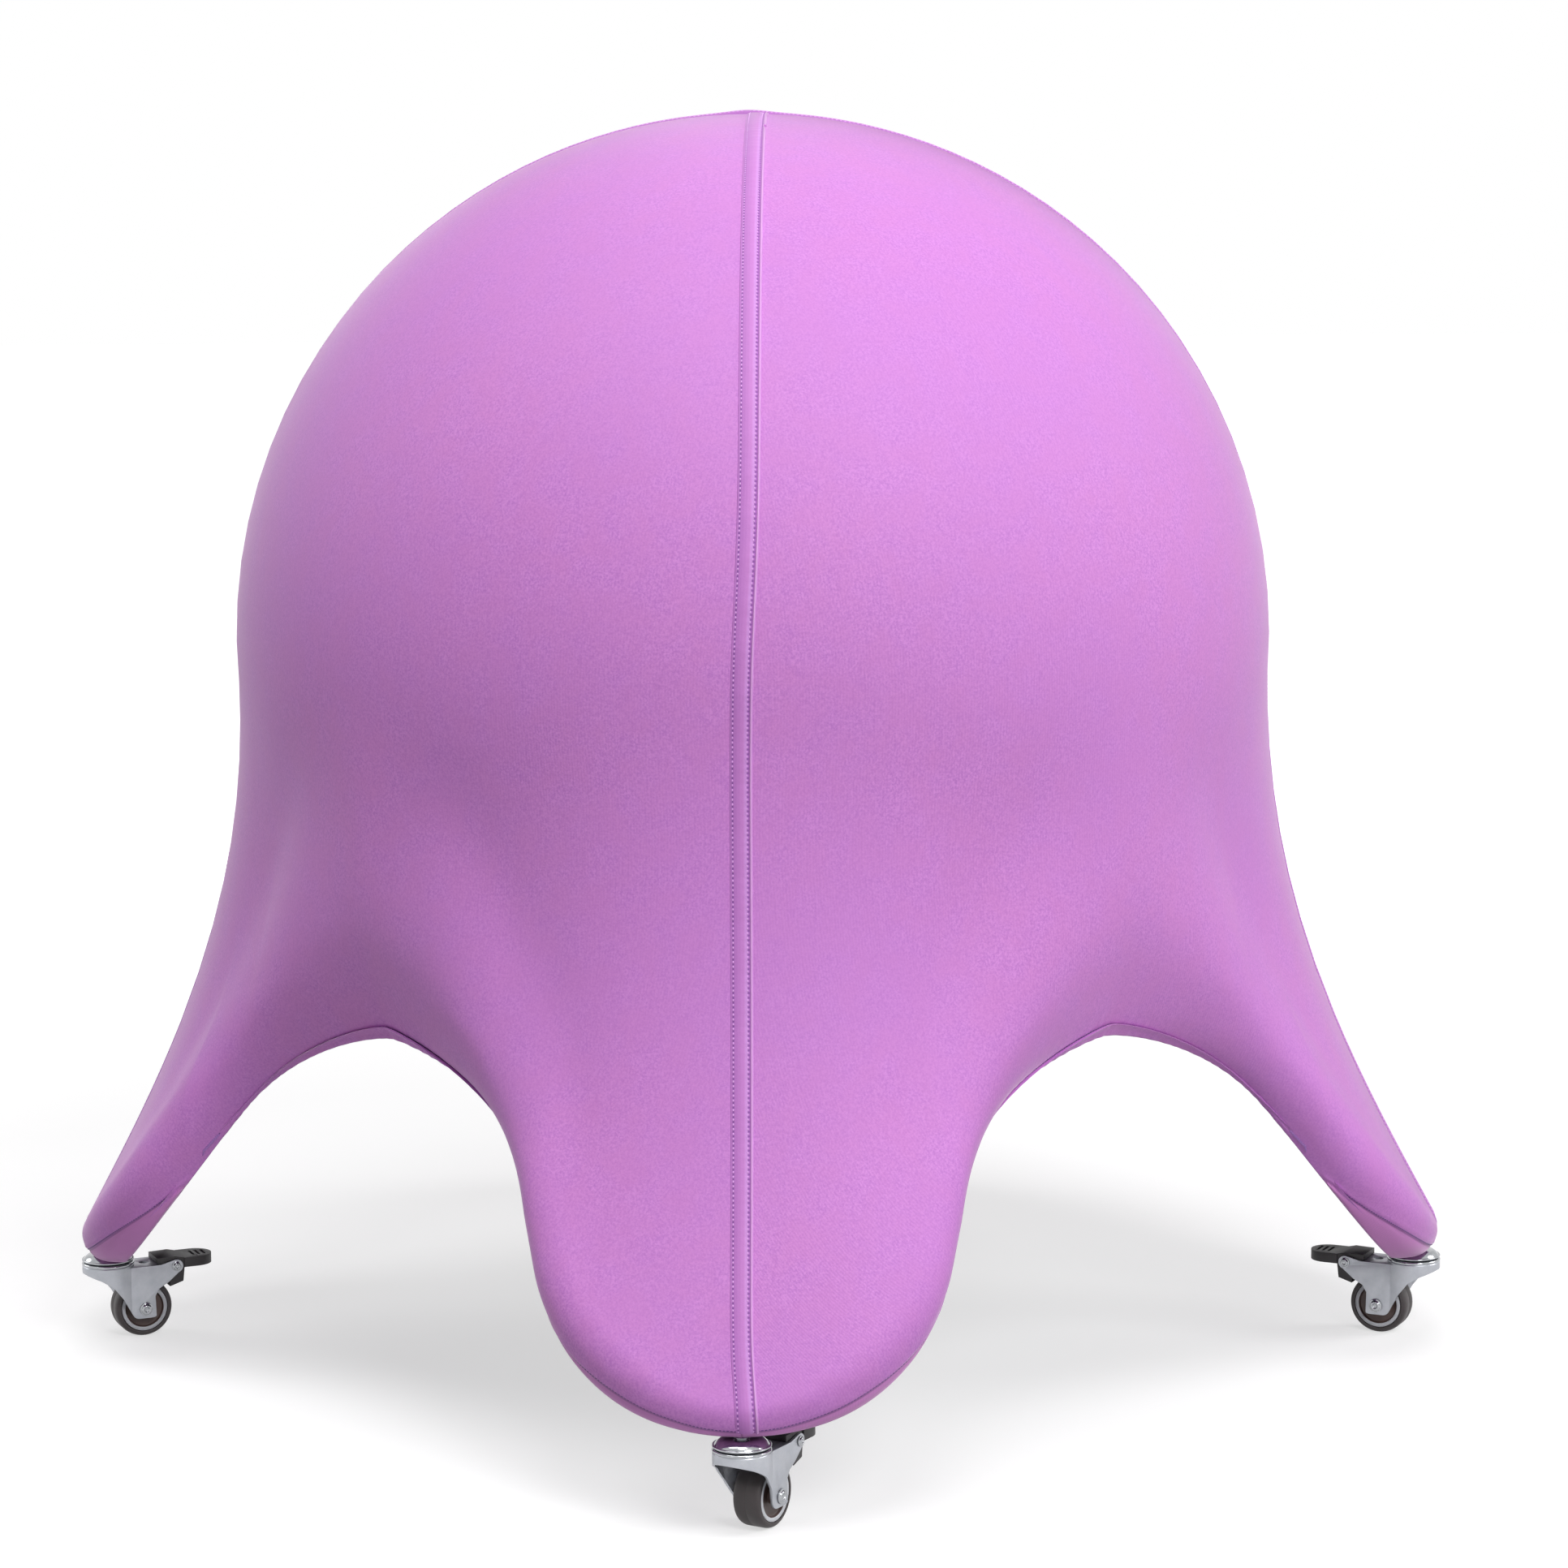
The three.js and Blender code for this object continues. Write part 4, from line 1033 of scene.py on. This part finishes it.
for leg, name in enumerate(panel_names):
    quarter = quarters[leg]
    bm = bmesh.new()
    arch = np.arange(tack_column, columns - tack_column)
    sewn_line(bm, arch, np.full(len(arch), hem_stitches), hem_stitch, hem_pitch)
    for columns_at in (np.arange(sole_columns), columns - 1 - np.arange(sole_columns)):
        sewn_line(bm, columns_at, sole_seam[columns_at] + sole_row, sole_stitch, hem_pitch)
    bmesh.ops.recalc_face_normals(bm, faces=bm.faces)
    finished(bm, f"hem_stitches_{name}", dark_thread, "frame", (), quarter)

    bm = bmesh.new()
    for side in (1, -1):
        for k in range(tack_stitches + tack_hook):
            place = along_hem[tack_column] - min(k, tack_stitches) * tack_pitch
            column = np.interp(place, along_hem, np.arange(columns))
            ahead = np.interp(place + look_ahead, along_hem, np.arange(columns))
            if side < 0:
                column, ahead = columns - 1 - column, columns - 1 - ahead
            level = hem_stitches + tack_climb * min(k, tack_stitches)
            level -= hook_drop * max(0, k - tack_stitches)
            spot, way = cloth_place(column, level, tack_rise)
            along = Vector(cloth_place(ahead, level, tack_rise)[0] - spot).normalized()
            beside = Vector(way).cross(along).normalized()
            if k > tack_stitches:
                along, beside = beside, along
            slant = (beside + along * (tack_slant if k % 2 else -tack_slant)).normalized()
            pressed_bead(bm, spot, slant, slant.cross(Vector(way)), tack_stitch, 1)
    bmesh.ops.recalc_face_normals(bm, faces=bm.faces)
    finished(bm, f"bar_tacks_{name}", tack_thread, "frame", (), quarter)

    fold_line = []
    for column in range(0, columns, 2):
        edge, way = skin[column, -1], normals[column, -1]
        up = skin[column, -4] - edge
        up = up / np.linalg.norm(up)
        fold_line.append([edge + up * a * mm - way * b * mm for a, b in fold_profile])
        fold_line[-1].append(fold_line[-1][0])
    fold_line = np.array(fold_line)
    girth = np.linspace(0, fold_girth, len(fold_profile) + 1)
    fold_marks = np.stack(np.broadcast_arrays(along_hem[::2, None], girth), -1)
    bm = laid_grid(turned(fold_line, leg), fold_marks, closed=True)
    finished(bm, f"hem_fold_{name}", hem_cloth, "frame", sharp=60)

# Caster caps. Each caster hangs from the hoop by a threaded stem. The stem holds
# a pressed and chromed cap, domed up to the cloth, and a pin riveted under it.
cap_radius = 14.3 * mm
cap_low = 43.8 * mm
cap_lip = 1.1 * mm
cap_top = 47.4 * mm
dome_radius = 10.2 * mm
stem_radius = 4 * mm
stem_depth = 5 * mm
pin_flange = 5 * mm
pin_radius = 3 * mm
pin_low = 40.3 * mm
pin_edge = 0.5 * mm
flange_thickness = 1.3 * mm
cap_sheet = 1.4 * mm
shoulder_inset = 1.1 * mm
shoulder_drop = 0.1 * mm
shoulder_bow = 0.27 * mm
stem_shoulder = 1.5 * mm
thread_start = 0.4 * mm
thread_pitch = 1.25 * mm
thread_depth = 0.5 * mm

# Chrome plate on pressed steel: a mirror with fine polishing lines and a slight
# grey haze, so that edges flash and flats stay dark.
haze_size = 3 * mm
polish_width = 2 * mm
chrome, tree, shader, coords = mottled("chrome_plated_steel", haze_size, 3, "8f9296",
                                       "bdbfc2")[:4]
streaks = add(tree, "ShaderNodeMapping", {"Vector": coords.outputs["Object"],
                                          "Scale": (1, 1, 12)})
lines = add(tree, "ShaderNodeTexNoise", {"Vector": streaks.outputs[0], "Detail": 2.0,
                                         "Scale": 1 / polish_width})
textured(tree, shader, gloss=(lines, 0.07, 0.2))
shader.inputs["Metallic"].default_value = 1.0


def middle_of(node):
    low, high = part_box(node)
    return (low + high) / 2


caster_axes = {}
for quarter, name in zip(quarters, leg_names):
    foot = quarter @ Vector((caster_circle, 0, 0))
    trail = middle_of(f"caster_tyre_{name}") - foot
    turn = math.atan2(trail.y, trail.x)
    caster_axes[name] = Matrix.Translation(foot) @ Matrix.Rotation(turn, 4, "Z")
    profile = [(0, pin_low), (pin_flange * 0.7, pin_low), (pin_flange, pin_low + pin_edge),
               (pin_flange, pin_low + flange_thickness),
               (pin_radius, pin_low + flange_thickness), (pin_radius, cap_low),
               (cap_radius - cap_sheet, cap_low)]
    for k in range(7):
        turn = -math.pi / 2 + math.pi * k / 6
        profile.append((cap_radius - cap_lip / 2 + cap_lip / 2 * math.cos(turn),
                        cap_low + cap_lip / 2 + cap_lip / 2 * math.sin(turn)))
    shoulder = cap_radius - shoulder_inset
    for k in range(9):
        share = k / 8
        bow = math.sin(math.pi * share) * shoulder_bow
        profile.append((shoulder - (shoulder - dome_radius) * share,
                        cap_low + cap_lip - shoulder_drop
                        + (cap_top - cap_low - cap_lip) * share ** 0.8 + bow))
    profile += [(stem_radius + stem_shoulder, cap_top), (stem_radius, cap_top)]
    stem_top = hoop_tip + stem_depth
    height = cap_top + thread_start
    while height + thread_pitch < stem_top:
        profile += [(stem_radius - thread_depth, height), (stem_radius, height + thread_pitch / 2)]
        height += thread_pitch
    profile += [(stem_radius - thread_depth, stem_top), (0, stem_top)]
    finished(spun(profile, 72), f"caster_cap_{name}", chrome, "frame",
             [f"caster_stem_{name}"], caster_axes[name], sharp=32)

# Swivel race. A ring of the same chromed steel, rolled round the top of the fork,
# closes the ball bearing in which the caster turns.
race_middle = 42.15 * mm
race_radius = 13.1 * mm
race_bulge = 1.3 * mm
for name in leg_names:
    profile = []
    for k in range(13):
        turn = 2 * math.pi * k / 12
        profile.append((race_radius + race_bulge * math.cos(turn),
                        race_middle + race_bulge * 0.8 * math.sin(turn)))
    finished(spun(profile, 72), f"swivel_race_{name}", chrome,
             f"swivel_{name}", (), caster_axes[name])

# Forks. One stamping of steel sheet, folded into a channel with a drawn collar,
# a flared skirt and two ears, then zinc plated.
fold_round = 0.45 * mm

# Zinc plate with a clear blue passivation: satin, bluish grey and faintly
# clouded, over the fine grit of the rolled sheet.
passivation_cloud = 7 * mm
zinc_grit = 0.5 * mm
zinc, tree, shader, coords, clouds = mottled("zinc_plated_pressed_steel", passivation_cloud, 4,
                                             "9da1a9", "c5c7cc")
clouds.inputs["Roughness"].default_value = 0.6
grit = add(tree, "ShaderNodeTexNoise", {"Vector": coords.outputs["Object"], "Detail": 2.0,
                                        "Scale": 1 / zinc_grit})
both = add(tree, "ShaderNodeMath", {0: clouds.outputs["Fac"], 1: grit.outputs["Fac"]},
           operation="MULTIPLY")
gloss = add(tree, "ShaderNodeMapRange", {"Value": both.outputs[0], "From Min": 0.1,
                                         "From Max": 0.5, "To Min": 0.3, "To Max": 0.5})
tree.links.new(gloss.outputs[0], shader.inputs["Roughness"])
textured(tree, shader, relief=(grit, 0.12, 0.08 * mm))
shader.inputs["Metallic"].default_value = 0.85


def solid_copy(node):
    """A copy of the solid's own mesh, its doubles merged and its flats made whole."""
    bm = bmesh.new()
    bm.from_mesh(bpy.data.objects[node].data)
    bmesh.ops.remove_doubles(bm, verts=bm.verts, dist=1e-6)
    bmesh.ops.dissolve_limit(bm, angle_limit=math.radians(1), verts=bm.verts, edges=bm.edges)
    return bm


for name in leg_names:
    bm = solid_copy(f"caster_fork_{name}")
    rounded(bm, fold_round, 2, least=24)
    finished(bm, f"pressed_fork_{name}", zinc, f"swivel_{name}",
             [f"caster_fork_{name}"], sharp=30)

# Brake pedals. Glass-filled nylon mouldings that press a shoe on the tyre. Each
# turns on a pin through the ears, and its pad has ribs for the shoe's grip.
pedal_round = 0.55 * mm
spark_texture = 0.45 * mm

# The mould was spark eroded, which leaves the black nylon evenly gritty and dull.
nylon, tree, shader, coords, grit = mottled("black_glass_filled_nylon", spark_texture, 3,
                                            "171416", "2a2528")
grit.inputs["Roughness"].default_value = 0.7
textured(tree, shader, gloss=(grit, 0.38, 0.6), relief=(grit, 0.25, 0.08 * mm))
shader.inputs["IOR"].default_value = 1.53
for name in leg_names:
    bm = solid_copy(f"brake_pedal_{name}")
    rounded(bm, pedal_round, 2, least=24)
    finished(bm, f"brake_lever_{name}", nylon, f"pedal_{name}",
             [f"brake_pedal_{name}"], sharp=30)

# Wheels. A moulded core with a pale ring and a brown web, and a tread of soft
# thermoplastic rubber moulded over it, crowned, with a fine parting line.
wheel_radius = 16 * mm
half_tread = 7.5 * mm
crown = 4 * mm
core_radius = 12.8 * mm
core_half = 7.2 * mm
ring_width = 1.9 * mm
web_half = 5.5 * mm
boss_radius = 4.5 * mm
boss_half = 8 * mm
core_bore = 2.8 * mm
parting_line = 0.12 * mm
parting_low = 0.15 * mm
parting_high = 0.4 * mm
running_gap = 0.3 * mm
bead_drop = 0.2 * mm
bead_radius = core_radius + 1.0 * mm
wall_radius = core_radius + 1.5 * mm
wall_drop = 0.25 * mm
ring_fillet = 0.7 * mm
web_margin = 0.35 * mm
core_round = 0.3 * mm

# The tread's compound blooms a little, which leaves it uneven and dull.
bloom_size = 6 * mm
dust_size = 0.5 * mm
flow_size = 2.5 * mm
rubber, tree, shader, coords, bloom = mottled("soft_tread_rubber", bloom_size, 4, "2f2a2b",
                                              "4a4344")
dust = add(tree, "ShaderNodeTexNoise", {"Vector": coords.outputs["Object"], "Detail": 2.0,
                                        "Scale": 1 / dust_size})
textured(tree, shader, gloss=(bloom, 0.42, 0.62), relief=(dust, 0.15, 0.08 * mm))
shader.inputs["IOR"].default_value = 1.5


def both_faces(side):
    """A profile and its mirror image on the other face."""
    return side + [(reach, -height) for reach, height in side[::-1]]


def moulded(name, dark, light):
    """Satin polypropylene with a faint flow pattern."""
    material, tree, shader, coords, flow = mottled(name, flow_size, 3, dark, light)
    textured(tree, shader, gloss=(flow, 0.32, 0.48))
    return material


ring_plastic = moulded("pale_grey_core_ring", "c9ccd2", "e2e4e8")
web_plastic = moulded("brown_core_web", "4a3a37", "5f4b46")
upright = Matrix.Rotation(-math.pi / 2, 4, "X")
for name in leg_names:
    trail = (middle_of(f"caster_tyre_{name}") - caster_axes[name].translation).to_2d().length
    wheel_place = caster_axes[name] @ Matrix.Translation((trail, 0, wheel_radius)) @ upright
    wall_height = half_tread - wall_drop
    side = [(core_radius + running_gap, half_tread - bead_drop), (bead_radius, half_tread),
            (wall_radius, wall_height)]
    for k in range(8):
        turn = math.pi / 2 * (1 - k / 7)
        side.append((wall_radius + (wheel_radius - wall_radius) * math.cos(turn),
                     crown + (wall_height - crown) * math.sin(turn)))
    side += [(wheel_radius, parting_high), (wheel_radius - parting_line, parting_low)]
    finished(spun(both_faces(side) + side[:1], 96), f"wheel_tread_{name}", rubber,
             f"wheel_{name}", [f"caster_tyre_{name}"], wheel_place, sharp=35)

    inner = core_radius - ring_width
    side = [(core_bore, boss_half), (boss_radius, boss_half), (boss_radius, web_half),
            (inner - ring_fillet, web_half), (inner, core_half), (core_radius, core_half)]
    bm = spun(both_faces(side) + side[:1], 72)
    rounded(bm, core_round)
    for face in bm.faces:
        reach = face.calc_center_median().to_2d().length
        face.material_index = int(reach < inner - web_margin)
    piece = finished(bm, f"wheel_core_{name}", ring_plastic, f"wheel_{name}",
                     [f"caster_hub_{name}"], wheel_place, sharp=32)
    piece.data.materials.append(web_plastic)

# Rivets. The wheel turns on a tubular steel rivet and the pedal on a smaller one.
# Their chromed heads are turned over a washer on each ear.
axle_radius = 2.5 * mm
axle_head = 3.7 * mm
axle_rise = 1.4 * mm
brake_pin = 1.6 * mm
brake_head = 2.7 * mm
brake_rise = 1.1 * mm
ear_face = 10.85 * mm
rivet_round = 0.12 * mm
rivets = [("axle_rivet", "caster_axle", axle_radius, axle_head, axle_rise),
          ("pedal_rivet", "brake_pin", brake_pin, brake_head, brake_rise)]
for name in leg_names:
    for kind, node, radius, head, rise in rivets:
        centre = middle_of(f"{node}_{name}")
        turn = caster_axes[name].to_3x3().to_4x4()
        place = Matrix.Translation(centre) @ turn @ upright
        side = [(0, ear_face + rise * 0.45), (head * 0.3, ear_face + rise * 0.5),
                (head * 0.42, ear_face + rise), (head * 0.62, ear_face + rise),
                (head * 0.78, ear_face + rise * 0.55), (head * 0.8, ear_face + rise * 0.35),
                (head, ear_face + rise * 0.3), (head, ear_face), (radius, ear_face)]
        bm = spun(both_faces(side), 40)
        rounded(bm, rivet_round)
        finished(bm, f"{kind}_{name}", chrome, f"swivel_{name}",
                 [f"{node}_{name}"], place, sharp=40)
